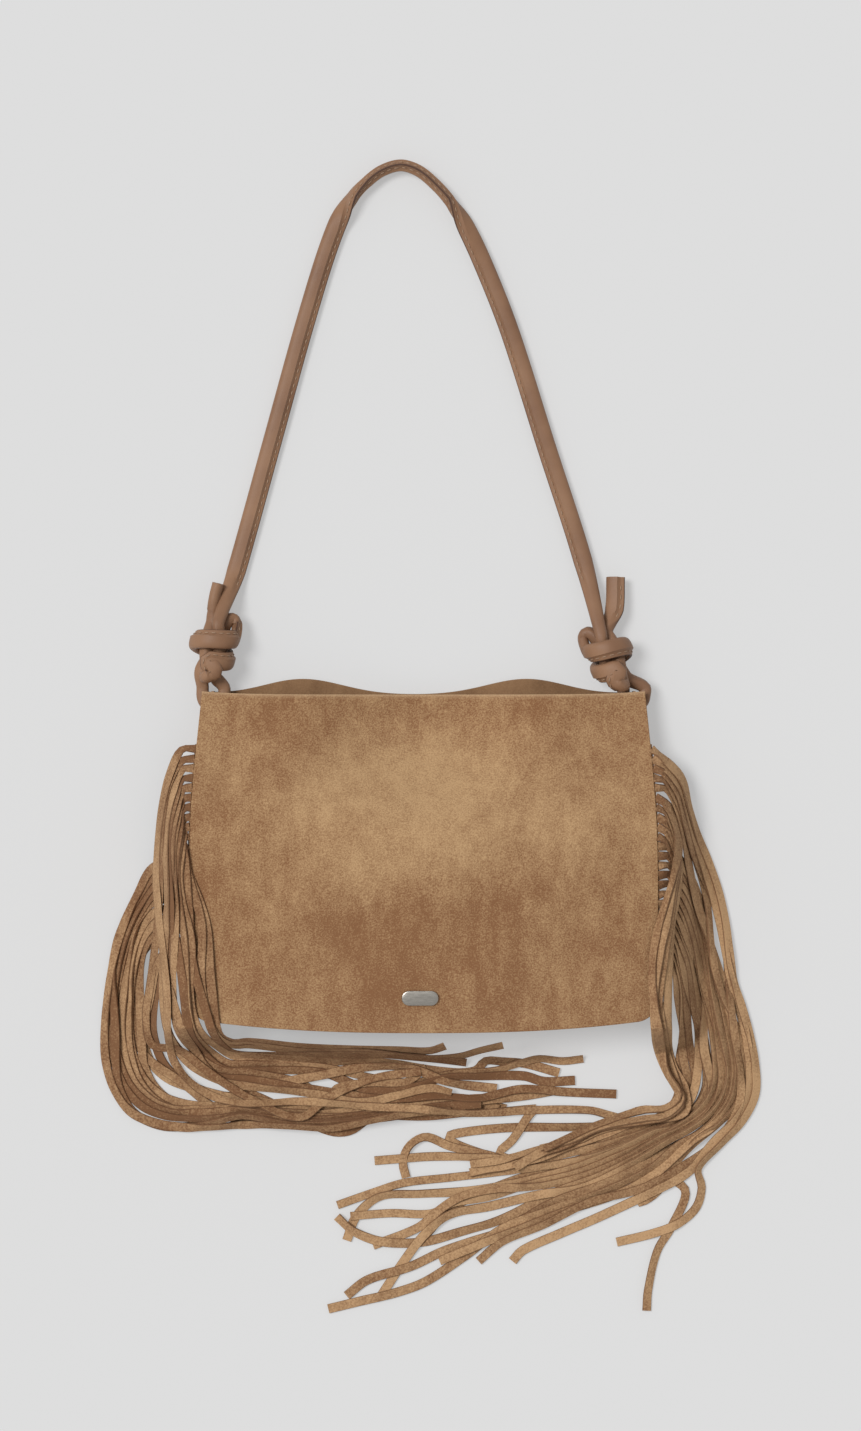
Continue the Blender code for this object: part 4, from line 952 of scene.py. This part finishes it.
def groundHeight(x, y, near):
    margin = fringe["margin"] * (1.0 - near)
    u = np.minimum(1.0, np.abs(x) / halfWidth(y))
    beyondSide = np.maximum(0.0, np.abs(x) - halfWidth(y) - margin)
    beyondEnd = np.maximum(0.0, bottomEdge(np.minimum(u, 0.9)) - y - margin)
    away = np.hypot(beyondSide / fringe["sideDrape"], beyondEnd / fringe["endDrape"])
    lift = fringe["lift"] - near * (fringe["lift"] + bag["suede"] + fringe["tuck"])
    top = frontHeight(x, np.maximum(y, bag["bottomY"])) + lift
    return fringe["thickness"] / 2 + top * (1.0 - smooth(away))


class HeightMap:
    def __init__(self):
        self.low = np.array([-260.0, -330.0])
        self.cells = np.full((int(520 / fringe["cell"]), int(460 / fringe["cell"])), -40.0)

    def index(self, points):
        spot = ((points - self.low) / fringe["cell"]).astype(int)
        return spot[..., 0], spot[..., 1]

    def read(self, points):
        return self.cells[self.index(points)]

    def raiseTo(self, points, heights):
        i, j = self.index(points)
        np.maximum.at(self.cells, (i.ravel(), j.ravel()), heights.ravel())


def even(values, reach):  # running mean along a lace
    kernel = np.hanning(2 * reach + 3)[1:-1]
    padded = np.concatenate([np.full(reach, values[0]), values, np.full(reach, values[-1])])
    return np.convolve(padded, kernel / kernel.sum(), "valid")


def settleLace(line, side, index, piled):
    middle = np.array([(p.x, p.y) for p in line])
    ahead = np.gradient(middle, axis=0)
    ahead /= np.linalg.norm(ahead, axis=1)[:, None]
    way = np.stack([-ahead[:, 1], ahead[:, 0]], axis=1) * side
    gone = np.concatenate([[0.0], np.cumsum(np.linalg.norm(np.diff(middle, axis=0), axis=1))])
    near = 1.0 - smooth((gone - fringe["rung"]) / fringe["rung"])
    height, tilt = restOnPile(middle, ahead, way, near, piled)
    addToPile(middle, way, height, tilt, piled)
    chance = random.Random(500 * (side + 2) + index)
    for _ in range(chance.choice((1, 2, 2, 3))):
        centre, reach = chance.uniform(fringe["edgeFrom"], gone[-1]), chance.uniform(*fringe["edgeReach"])
        lean = chance.choice((-1, 1)) * chance.uniform(*fringe["edgeLean"])
        bump = np.exp(-((gone - centre) / reach) ** 2)
        tilt = tilt + lean * bump
        height = height + abs(lean) * bump * fringe["edgeRise"]
    rootTwist = np.exp(-((gone - fringe["twistAt"]) / fringe["twistReach"]) ** 2)
    tilt = tilt + fringe["rootTwist"] * rootTwist * (1 if index % 3 else -1)
    return middle, way, height, np.arctan2(tilt, fringe["width"] / 2), gone


# the lowest place on the laces below, with the tilt that allows it
def restOnPile(middle, ahead, way, near, piled):
    half, count = fringe["width"] / 2, fringe["across"]
    across = np.linspace(-1, 1, count)
    spots = middle[:, None, :] + way[:, None, :] * (across * half)[None, :, None]
    nearAll = np.repeat(near[:, None], count, axis=1)
    x, y = spots[..., 0], spots[..., 1]
    need = groundHeight(x, y, nearAll) - groundHeight(x, y, 0.0 * nearAll)
    for along in (-fringe["ahead"], 0.0, fringe["ahead"]):
        need = np.maximum(need, piled.read(spots + ahead[:, None, :] * along) + fringe["layer"])
    tilts = np.linspace(-fringe["steepest"], fringe["steepest"], fringe["tilts"])
    middles = (need[:, None, :] - tilts[None, :, None] * across[None, None, :]).max(axis=2)
    level = (need[:, -1] - need[:, 0]) / 2
    best = np.argmin(middles + fringe["levelPull"] * np.abs(tilts[None, :] - level[:, None]), axis=1)
    lowest = middles[np.arange(len(middle)), best]
    height = np.maximum(even(lowest, fringe["evenHeight"]), lowest - fringe["sink"])
    return height, even(tilts[best], fringe["evenTilt"])


def addToPile(middle, way, height, tilt, piled):
    half = fringe["width"] / 2
    cover = np.linspace(-1, 1, fringe["cover"])
    for along in (0.0, 0.5):
        a, w, h, s = (row[:-1] * (1 - along) + row[1:] * along for row in (middle, way, height, tilt))
        flat = half * np.cos(np.arctan2(s, half))
        piled.raiseTo(a[:, None, :] + w[:, None, :] * (cover[None, :, None] * flat[:, None, None]),
                      h[:, None] + s[:, None] * cover[None, :])


laceSection = ((1.0, 0.55), (0.9, 1.0), (0.45, 1.08), (-0.45, 1.08), (-0.9, 1.0), (-1.0, 0.55),
               (-1.0, -0.55), (-0.9, -1.0), (0.9, -1.0), (1.0, -0.55))


def makeFringe(side, word, node, trunk, tails, strays):
    piled = HeightMap()
    points, faces, tones, cuts, lengths = [], [], [], [], []
    for index in reversed(range(comb["laces"])):
        line = laceRoute(side, index, trunk, tails, strays)
        middle, way, height, angle, gone = settleLace(line, side, index, piled)
        level = np.zeros(len(middle))
        floorHeight = groundHeight(middle[:, 0], middle[:, 1], level) + height
        lengths.append(float(np.hypot(np.diff(gone), np.diff(floorHeight)).sum()))
        chance = random.Random(900 * (side + 2) + index)
        tone = chance.uniform(*fringe["tones"][side])
        half = fringe["width"] / 2 * chance.uniform(*fringe["widths"])
        thick = fringe["thickness"] / 2
        rings = []
        for across, up in laceSection:
            off = across * half * np.cos(angle) - up * thick * np.sin(angle)
            rise = across * half * np.sin(angle) + up * thick * np.cos(angle)
            spot = middle + way * off[:, None]
            z = groundHeight(spot[:, 0], spot[:, 1], level) + height + rise
            z = np.maximum(z, fringe["floorGap"] + (fringe["floorStep"] if up > 0 else 0.0))
            rings.append(np.concatenate([spot, z[:, None]], axis=1))
        faces += ringFaces(len(points), len(laceSection), len(middle))
        points += np.stack(rings, axis=1).reshape(-1, 3).tolist()
        # cut edges: the leather's own darker edge plus painted shade on the lace sides
        edges = [fringe["cutShade"] if abs(across) > 0.95 else 0.0 for across, _ in laceSection]
        cuts.append(np.tile(edges, len(middle)))
        reach, phase = chance.uniform(*fringe["driftReach"]), chance.uniform(0, 6)
        # painted shade near the root, where the laces leave the seam
        clear = smooth((gone - fringe["shadeFrom"]) / fringe["shadeReach"])
        drift = tone + fringe["drift"] * np.sin(gone / reach + phase) - fringe["rootShade"] * (1.0 - clear)
        tones.append(np.repeat(drift, len(laceSection)))
    rows = np.linspace(seamTop, seamBottom, comb["bandRows"])
    faces += ringFaces(len(points), 4, len(rows))
    for y in rows:
        high = seamHeight(y) + comb["bandRise"]
        low = high - comb["bandThickness"]
        inner = side * (float(halfWidth(y)) - comb["bandInset"])
        outer = side * (float(halfWidth(y)) + comb["bandOutset"])
        points += [(inner, y, low), (inner, y, high), (outer, y, high), (outer, y, low)]
    tones.append(np.full(4 * len(rows), comb["bandTone"]))
    cuts.append(np.zeros(4 * len(rows)))
    values = {"tone": np.concatenate(tones), "cutEdge": np.concatenate(cuts)}
    made = makePiece("fringe" + word, points, faces, laceSuede, 28.0, values)
    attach(made, "bag")
    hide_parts(node)
    long = max(lengths) / 1000
    area = sum(lengths) * fringe["width"] / 1e6
    print("fringe", word, "longest lace", round(long, 3), "cut area", round(area, 4))
    return made, long, area


for side, word, node, trunk, tails, strays in (
    (-1, "Left", "fringe_left", leftTrunk, leftTails, leftStrays),
    (1, "Right", "fringe_right", rightTrunk, rightTails, {}),
):
    made, long, area = makeFringe(side, word, node, trunk, tails, strays)
print("fringes made")


# strap

strap = {
    "rise": 318.9, "width": 11.5, "thickness": 7.0, "core": 7.5, "wrapThickness": 6.5, "wrapPitch": 13.6,
    "knotLength": 31.0, "knotClearance": 6.0, "turnRadius": 6.4, "strandRun": 5.0, "gap": 0.3, "perSpan": 9,
    # knot: turn of the core over its length, where its strands stand, wraps and the passes into the core
    "coreTurn": 120.0, "coreWays": (90.0, 210.0, 330.0), "passRadius": 8.5, "passExtra": 1.0,
    "wrapEnd": 330.0, "wrapStep": 30.0, "wrapStations": 16,
    # section: sides, thin stitched lip, and where the arch turns onto its edge
    "sides": 28, "flange": 3.8, "flangeThin": 0.42, "blend": 1.4, "floorGap": 0.15,
    "onEdgeFrom": -0.42, "onEdgeTo": 0.25, "onEdgeReach": 0.12, "archLean": 0.42, "archSwing": 0.9,
    "shortest": 0.7,
}
stitch = {"pitch": 4.6, "length": 3.1, "width": 0.85, "inset": 2.1, "raise": 0.12, "plainEnd": 3}
arch = (
    (-0.892, 0.234), (-0.720, 0.480), (-0.548, 0.725), (-0.420, 0.881), (-0.332, 0.943), (-0.263, 0.971),
    (-0.197, 0.990), (-0.113, 1.0), (-0.040, 0.993), (0.026, 0.975), (0.119, 0.936), (0.206, 0.880),
    (0.304, 0.796), (0.417, 0.680), (0.588, 0.466), (0.760, 0.253),
)
knotLeans = {-1: (-130.0, 13.0, 5.0), 1: (119.0, -24.0, 0.0)}
# tip and bend (radius from the knot's axis, rise above it), how far the face turns inward, side of the lip
knotTails = {-1: ((6.1, 23.0), (6.3, 13.0), 0.95, -1), 1: ((24.0, 27.5), (15.0, 10.0), 0.25, 1)}
up = Vector((0.0, 0.0, 1.0))


class Knot:
    def __init__(self, side):
        footX, lean, extra = knotLeans[side]
        turn = math.radians(lean)
        self.axis = Vector((math.sin(turn), math.cos(turn), 0.0))
        self.innerWay = Vector((math.cos(turn), -math.sin(turn), 0.0)) * -side
        core = strap["core"] / math.sqrt(3.0) + strap["core"] / 2  # reach of three core strands
        self.wrapRadius = strap["gap"] + core + strap["wrapThickness"] / 2
        rise = self.wrapRadius + strap["wrapThickness"] / 2 + strap["gap"]
        self.foot = Vector((footX, float(frontMouth(1.0)) + strap["knotClearance"] + extra, rise))

    def out(self, degrees):
        turn = math.radians(degrees)
        return self.innerWay * math.cos(turn) + up * math.sin(turn)

    def at(self, degrees, radius, along):
        return self.foot + self.axis * along + self.out(degrees) * radius


def knotStations(side):
    knot = Knot(side)
    long = strap["knotLength"]
    core = (strap["core"] / 2, strap["core"] / 2)
    wrap = (strap["width"] / 2, strap["wrapThickness"] / 2)
    slim = (strap["width"] / 2, strap["thickness"] / 2)
    ring = strap["core"] / math.sqrt(3.0) + strap["gap"] / 2
    passRing = ring + strap["passExtra"]
    tailWay, legWay, archWay = strap["coreWays"]
    made = []

    def coreRun(base, alongFrom, alongTo, sign):
        for k in range(5):
            along = alongFrom + (alongTo - alongFrom) * k / 4
            angle = base + strap["coreTurn"] * along / long
            made.append((knot.at(angle, ring, along), knot.out(angle) * sign, core))

    # the tail, then down through the core
    (tipRadius, tipRise), (bendRadius, bendRise), inward, lip = knotTails[side]
    face = (knot.innerWay * inward + up * (1.0 - inward)).normalized()
    made.append((knot.at(200, tipRadius, long + tipRise), face, slim, lip))
    made.append((knot.at(203, bendRadius, long + bendRise), face, slim, lip))
    coreRun(tailWay, long, 3.0, -1)
    # out at the foot and into the wraps
    made.append((knot.at(92, passRing, -1.5), -(knot.out(92) + knot.axis), core))
    made.append((knot.at(88, strap["passRadius"], -2.5), -knot.axis, core))
    made.append((knot.at(70, knot.wrapRadius, 1.5), knot.out(70) - knot.axis, wrap, side))
    start = long - strap["width"] / 2
    for k in reversed(range(strap["wrapStations"])):
        turned = strap["wrapStep"] * (k + 1)
        angle = strap["wrapEnd"] + turned
        along = start - strap["wrapPitch"] * turned / 360.0
        made.append((knot.at(angle, knot.wrapRadius, along), knot.out(angle), wrap, side))
    # over the top and down through the core to the eyelet
    made.append((knot.at(338, knot.wrapRadius, long + 1.0), knot.out(338) + knot.axis, wrap, side))
    made.append((knot.at(332, strap["passRadius"], long + 4.0), knot.axis, core))
    made.append((knot.at(330, passRing, long + 2.0), knot.axis - knot.out(330), core))
    coreRun(legWay, long - 3.0, 0.0, -1)
    # round the eyelet and up again into the arch
    middle = Vector((side * eyeletX, eyeletY + strap["turnRadius"], eyelet["z"]))
    outer = Vector((side * strap["turnRadius"], 0.0, 0.0))
    run = Vector((0.0, strap["strandRun"], 0.0))
    made.append((middle + outer + run, up, core))
    for degrees in range(0, 181, 30):
        turn = math.radians(degrees)
        way = outer * math.cos(turn) + Vector((0.0, -strap["turnRadius"] * math.sin(turn), 0.0))
        made.append((middle + way, up, core))
    made.append((middle - outer + run, up, core))
    coreRun(archWay, 0.0, long, 1)
    return made


def archStations():
    made = []
    half = (strap["width"] / 2, strap["thickness"] / 2)
    reach = strap["onEdgeReach"]
    for share, rise in arch:
        onEdge = smooth((share - strap["onEdgeFrom"]) / reach) * smooth((strap["onEdgeTo"] - share) / reach)
        tilt = float(onEdge) * math.pi / 2
        aheadX = strap["archLean"] - strap["archSwing"] * float(smooth(share + 0.5))
        out = Vector((-aheadX, rise, 0.0)).normalized()
        z = strap["gap"] + math.hypot(half[0] * math.sin(tilt), half[1] * math.cos(tilt))
        place = Vector((share * eyeletX, bag["mouthY"] + rise * strap["rise"], z))
        made.append((place, up * math.cos(tilt) + out * math.sin(tilt), half))
    return made


def strapFrames():
    stations = knotStations(-1) + archStations() + knotStations(1)[::-1]
    fine = smoothCurve([station[0] for station in stations], strap["perSpan"])
    made = []
    for i, place in enumerate(fine):
        span, part = divmod(i, strap["perSpan"])
        share = part / strap["perSpan"]
        after = min(span + 1, len(stations) - 1)
        ahead = (fine[min(i + 1, len(fine) - 1)] - fine[max(i - 1, 0)]).normalized()
        face = stations[span][1].normalized().lerp(stations[after][1].normalized(), share)
        across = ahead.cross(face).normalized()
        face = across.cross(ahead).normalized()
        half = Vector(stations[span][2]).lerp(Vector(stations[after][2]), share)
        lipWay = (stations[span] + (1,))[3] if share < 0.5 else (stations[after] + (1,))[3]
        if made and (place - made[-1][0]).length < strap["shortest"]:
            continue
        made.append((place, across, face, half, lipWay))
    return made


# outline of the strap: puffed body and a thin stitched lip on one edge
def strapSection(half, flat):
    spots = []
    for step in range(strap["sides"]):
        turn = math.tau * step / strap["sides"]
        c, s = math.cos(turn), math.sin(turn)
        x = half.x * math.copysign(abs(c) ** 0.75, c)
        y = half.y * math.copysign(abs(s) ** 0.8, s)
        lip = float(smooth((x - (half.x - strap["flange"])) / strap["blend"])) * flat
        y *= 1.0 - (1.0 - strap["flangeThin"]) * lip
        spots.append((x, y, lip if abs(c) > 0.93 and c > 0 else 0.0))
    return spots


def makeStrap():
    points, edges = [], []
    frames = strapFrames()
    middle = strap["sides"] // 2
    stitchLines = {1: [[]], -1: [[]]}
    for index, (place, across, face, half, lipWay) in enumerate(frames):
        flat = float(smooth((half.x - half.y - 0.6) / strap["blend"]))
        sewn = flat > 0.9 and stitch["plainEnd"] <= index < len(frames) - stitch["plainEnd"]
        outline = strapSection(half, flat)
        if lipWay < 0:
            outline = [(-x, y, edge) for x, y, edge in outline[middle::-1] + outline[:middle:-1]]
        ring = [(place + across * x + face * y, edge) for x, y, edge in outline]
        sunk = max(0.0, strap["floorGap"] - min(point.z for point, _ in ring))
        points += [point + up * sunk for point, _ in ring]
        edges += [edge for _, edge in ring]
        lipLine = place + up * sunk + across * (lipWay * (half.x - stitch["inset"]))
        seat = half.y * strap["flangeThin"] + stitch["raise"]
        for way, lines in stitchLines.items():
            if sewn:
                lines[-1].append(lipLine + face * (way * seat))
            elif lines[-1]:
                lines.append([])
    faces = ringFaces(0, strap["sides"], len(frames))
    made = makePiece("shoulderStrap", points, faces, strapLeather, 50.0, {"flangeEdge": edges})
    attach(made, "strap_body")
    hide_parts("strap")
    return stitchLines


def buildStitchTree():
    tree = bpy.data.node_groups.new("stitchRow", "GeometryNodeTree")
    face = tree.interface
    face.new_socket("Geometry", in_out="INPUT", socket_type="NodeSocketGeometry")
    for name, value in (("Pitch", 0.0046), ("Length", 0.0031), ("Width", 0.00095)):
        socket = face.new_socket(name, in_out="INPUT", socket_type="NodeSocketFloat")
        socket.default_value = value
    face.new_socket("Thread", in_out="INPUT", socket_type="NodeSocketMaterial")
    face.new_socket("Geometry", in_out="OUTPUT", socket_type="NodeSocketGeometry")
    given = addNode(tree, "NodeGroupInput", (-900, 0))
    out = addNode(tree, "NodeGroupOutput", (900, 0))
    spots = addNode(tree, "GeometryNodeCurveToPoints", (-600, 0), mode="LENGTH")
    tree.links.new(given.outputs["Geometry"], spots.inputs["Curve"])
    tree.links.new(given.outputs["Pitch"], spots.inputs["Length"])
    ball = addNode(tree, "GeometryNodeMeshUVSphere", (-600, -300))
    ball.inputs["Segments"].default_value = 6
    ball.inputs["Rings"].default_value = 5
    ball.inputs["Radius"].default_value = 0.5
    size = addNode(tree, "ShaderNodeCombineXYZ", (-600, -500))
    tree.links.new(given.outputs["Width"], size.inputs["X"])
    tree.links.new(given.outputs["Width"], size.inputs["Y"])
    tree.links.new(given.outputs["Length"], size.inputs["Z"])
    place = addNode(tree, "GeometryNodeInstanceOnPoints", (-200, 0))
    tree.links.new(spots.outputs["Points"], place.inputs["Points"])
    tree.links.new(ball.outputs["Mesh"], place.inputs["Instance"])
    tree.links.new(spots.outputs["Rotation"], place.inputs["Rotation"])
    tree.links.new(size.outputs[0], place.inputs["Scale"])
    real = addNode(tree, "GeometryNodeRealizeInstances", (100, 0))
    tree.links.new(place.outputs["Instances"], real.inputs["Geometry"])
    paint = addNode(tree, "GeometryNodeSetMaterial", (400, 0))
    tree.links.new(real.outputs["Geometry"], paint.inputs["Geometry"])
    tree.links.new(given.outputs["Thread"], paint.inputs["Material"])
    tree.links.new(paint.outputs["Geometry"], out.inputs["Geometry"])
    return tree


def stitchRow(name, lines, tree):
    curve = bpy.data.curves.new(name + "Path", "CURVE")
    curve.dimensions = "3D"
    for line in lines:
        if len(line) < 4:
            continue
        spline = curve.splines.new("POLY")
        spline.points.add(len(line) - 1)
        for spot, point in zip(spline.points, line):
            spot.co = (point.x / 1000, point.y / 1000, point.z / 1000, 1.0)
    path = bpy.data.objects.new(name + "Path", curve)
    bpy.context.collection.objects.link(path)
    rows = path.modifiers.new("stitches", "NODES")
    rows.node_group = tree
    sizes = {
        "Pitch": stitch["pitch"] / 1000, "Length": stitch["length"] / 1000, "Width": stitch["width"] / 1000,
        "Thread": stitchThread,
    }
    for item in tree.interface.items_tree:
        if item.in_out == "INPUT" and item.name in sizes:
            rows[item.identifier] = sizes[item.name]
    graph = bpy.context.evaluated_depsgraph_get()
    mesh = bpy.data.meshes.new_from_object(path.evaluated_get(graph))
    bpy.data.objects.remove(path)
    made = bpy.data.objects.new(name, mesh)
    mesh.name = name
    mesh.shade_smooth()
    bpy.context.collection.objects.link(made)
    return made


stitchTree = buildStitchTree()
stitchLines = makeStrap()
for way, word in ((1, "Upper"), (-1, "Under")):
    row = stitchRow("strapStitches" + word, stitchLines[way], stitchTree)
    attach(row, "strap_body")
print("strap made")


# plate and metal

plate = {
    "length": 22.0, "width": 9.0, "thickness": 1.4, "x": -2.0, "rise": 21.0, "lift": 0.5,
    "bevel": 0.7, "bevelSteps": 5, "sides": 48, "crown": 0.12, "crownInset": 1.6,
}


def makePlate():
    y0 = bag["bottomY"] + plate["rise"]
    end = plate["width"] / 2
    low = float(frontHeight(np.asarray(plate["x"]), np.asarray(y0 - end)))
    high = float(frontHeight(np.asarray(plate["x"]), np.asarray(y0 + end)))
    slope = (high - low) / plate["width"]
    base = (high + low) / 2 + plate["lift"]
    bevel = plate["bevel"]
    profile = [(0.0, 0.0)]
    for step in range(plate["bevelSteps"] + 1):
        turn = math.pi / 2 * step / plate["bevelSteps"]
        profile.append((plate["thickness"] - bevel * (1 - math.sin(turn)), bevel * (1 - math.cos(turn))))
    profile.append((plate["thickness"] + plate["crown"], bevel + plate["crownInset"]))
    points = []
    for rise, shrink in profile:
        for step in range(plate["sides"]):
            turn = math.tau * (step + 0.5) / plate["sides"]
            x = math.copysign(plate["length"] / 2 - end, math.cos(turn)) + (end - shrink) * math.cos(turn)
            y = (end - shrink) * math.sin(turn)
            points.append((plate["x"] + x, y0 + y, base + rise + slope * y))
    made = makePiece("plainPlate", points, ringFaces(0, plate["sides"], len(profile)), plateMetal, 50.0)
    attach(made, "bag")
    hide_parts("emblem_plate")


makePlate()
metalNodes = (
    "snap_socket", "snap_stud", "eyelet_left", "eyelet_right", "eyelet_washer_left", "eyelet_washer_right",
)
for name in metalNodes:
    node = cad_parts[name]
    for slot in node.material_slots:
        slot.link = "OBJECT"
        slot.material = warmMetal
print("metal made")


# floor and light

studio = {
    "floor": (0.735, 0.735, 0.735, 1), "glow": (0.727, 0.727, 0.727, 1), "glowShare": 0.5,
    "size": 12.0, "drop": 0.0004, "world": 0.42, "sun": 2.05, "softness": 22.0, "lean": 28.0, "turn": 66.0,
}


def makeStudio():
    made, tree, shader = newMaterial("paleFloor")
    tree.nodes.remove(shader)
    matt = addNode(tree, "ShaderNodeBsdfDiffuse", (0, 0))
    matt.inputs["Color"].default_value = studio["floor"]
    glow = addNode(tree, "ShaderNodeEmission", (0, -200))
    glow.inputs["Color"].default_value = studio["glow"]
    ray = addNode(tree, "ShaderNodeLightPath", (-600, 300))
    seen = doMath(tree, "MAXIMUM", ray.outputs["Is Camera Ray"], ray.outputs["Is Glossy Ray"], (-400, 300))
    seen = doMath(tree, "MAXIMUM", seen, ray.outputs["Is Transmission Ray"], (-200, 300))
    share = doMath(tree, "MULTIPLY", seen, studio["glowShare"], (0, 300))
    blend = addNode(tree, "ShaderNodeMixShader", (200, 0))
    tree.links.new(share, blend.inputs[0])
    tree.links.new(matt.outputs[0], blend.inputs[1])
    tree.links.new(glow.outputs[0], blend.inputs[2])
    tree.links.new(blend.outputs[0], tree.nodes["Material Output"].inputs["Surface"])
    mesh = bpy.data.meshes.new("paleFloor")
    size, z = studio["size"], -studio["drop"]
    corners = [(-size, -size, z), (size, -size, z), (size, size, z), (-size, size, z)]
    mesh.from_pydata(corners, [], [(0, 1, 2, 3)])
    mesh.materials.append(made)
    floor = bpy.data.objects.new("paleFloor", mesh)
    bpy.context.collection.objects.link(floor)
    world = bpy.data.worlds.new("softRoom")
    world.use_nodes = True
    air = world.node_tree.nodes["Background"]
    air.inputs["Color"].default_value = (1, 1, 1, 1)
    air.inputs["Strength"].default_value = studio["world"]
    bpy.context.scene.world = world
    sun = bpy.data.lights.new("softSun", "SUN")
    sun.energy = studio["sun"]
    sun.angle = math.radians(studio["softness"])
    lamp = bpy.data.objects.new("softSun", sun)
    lamp.rotation_euler = (-math.radians(studio["lean"]), 0.0, math.radians(studio["turn"]))
    bpy.context.collection.objects.link(lamp)


makeStudio()
print("studio made")
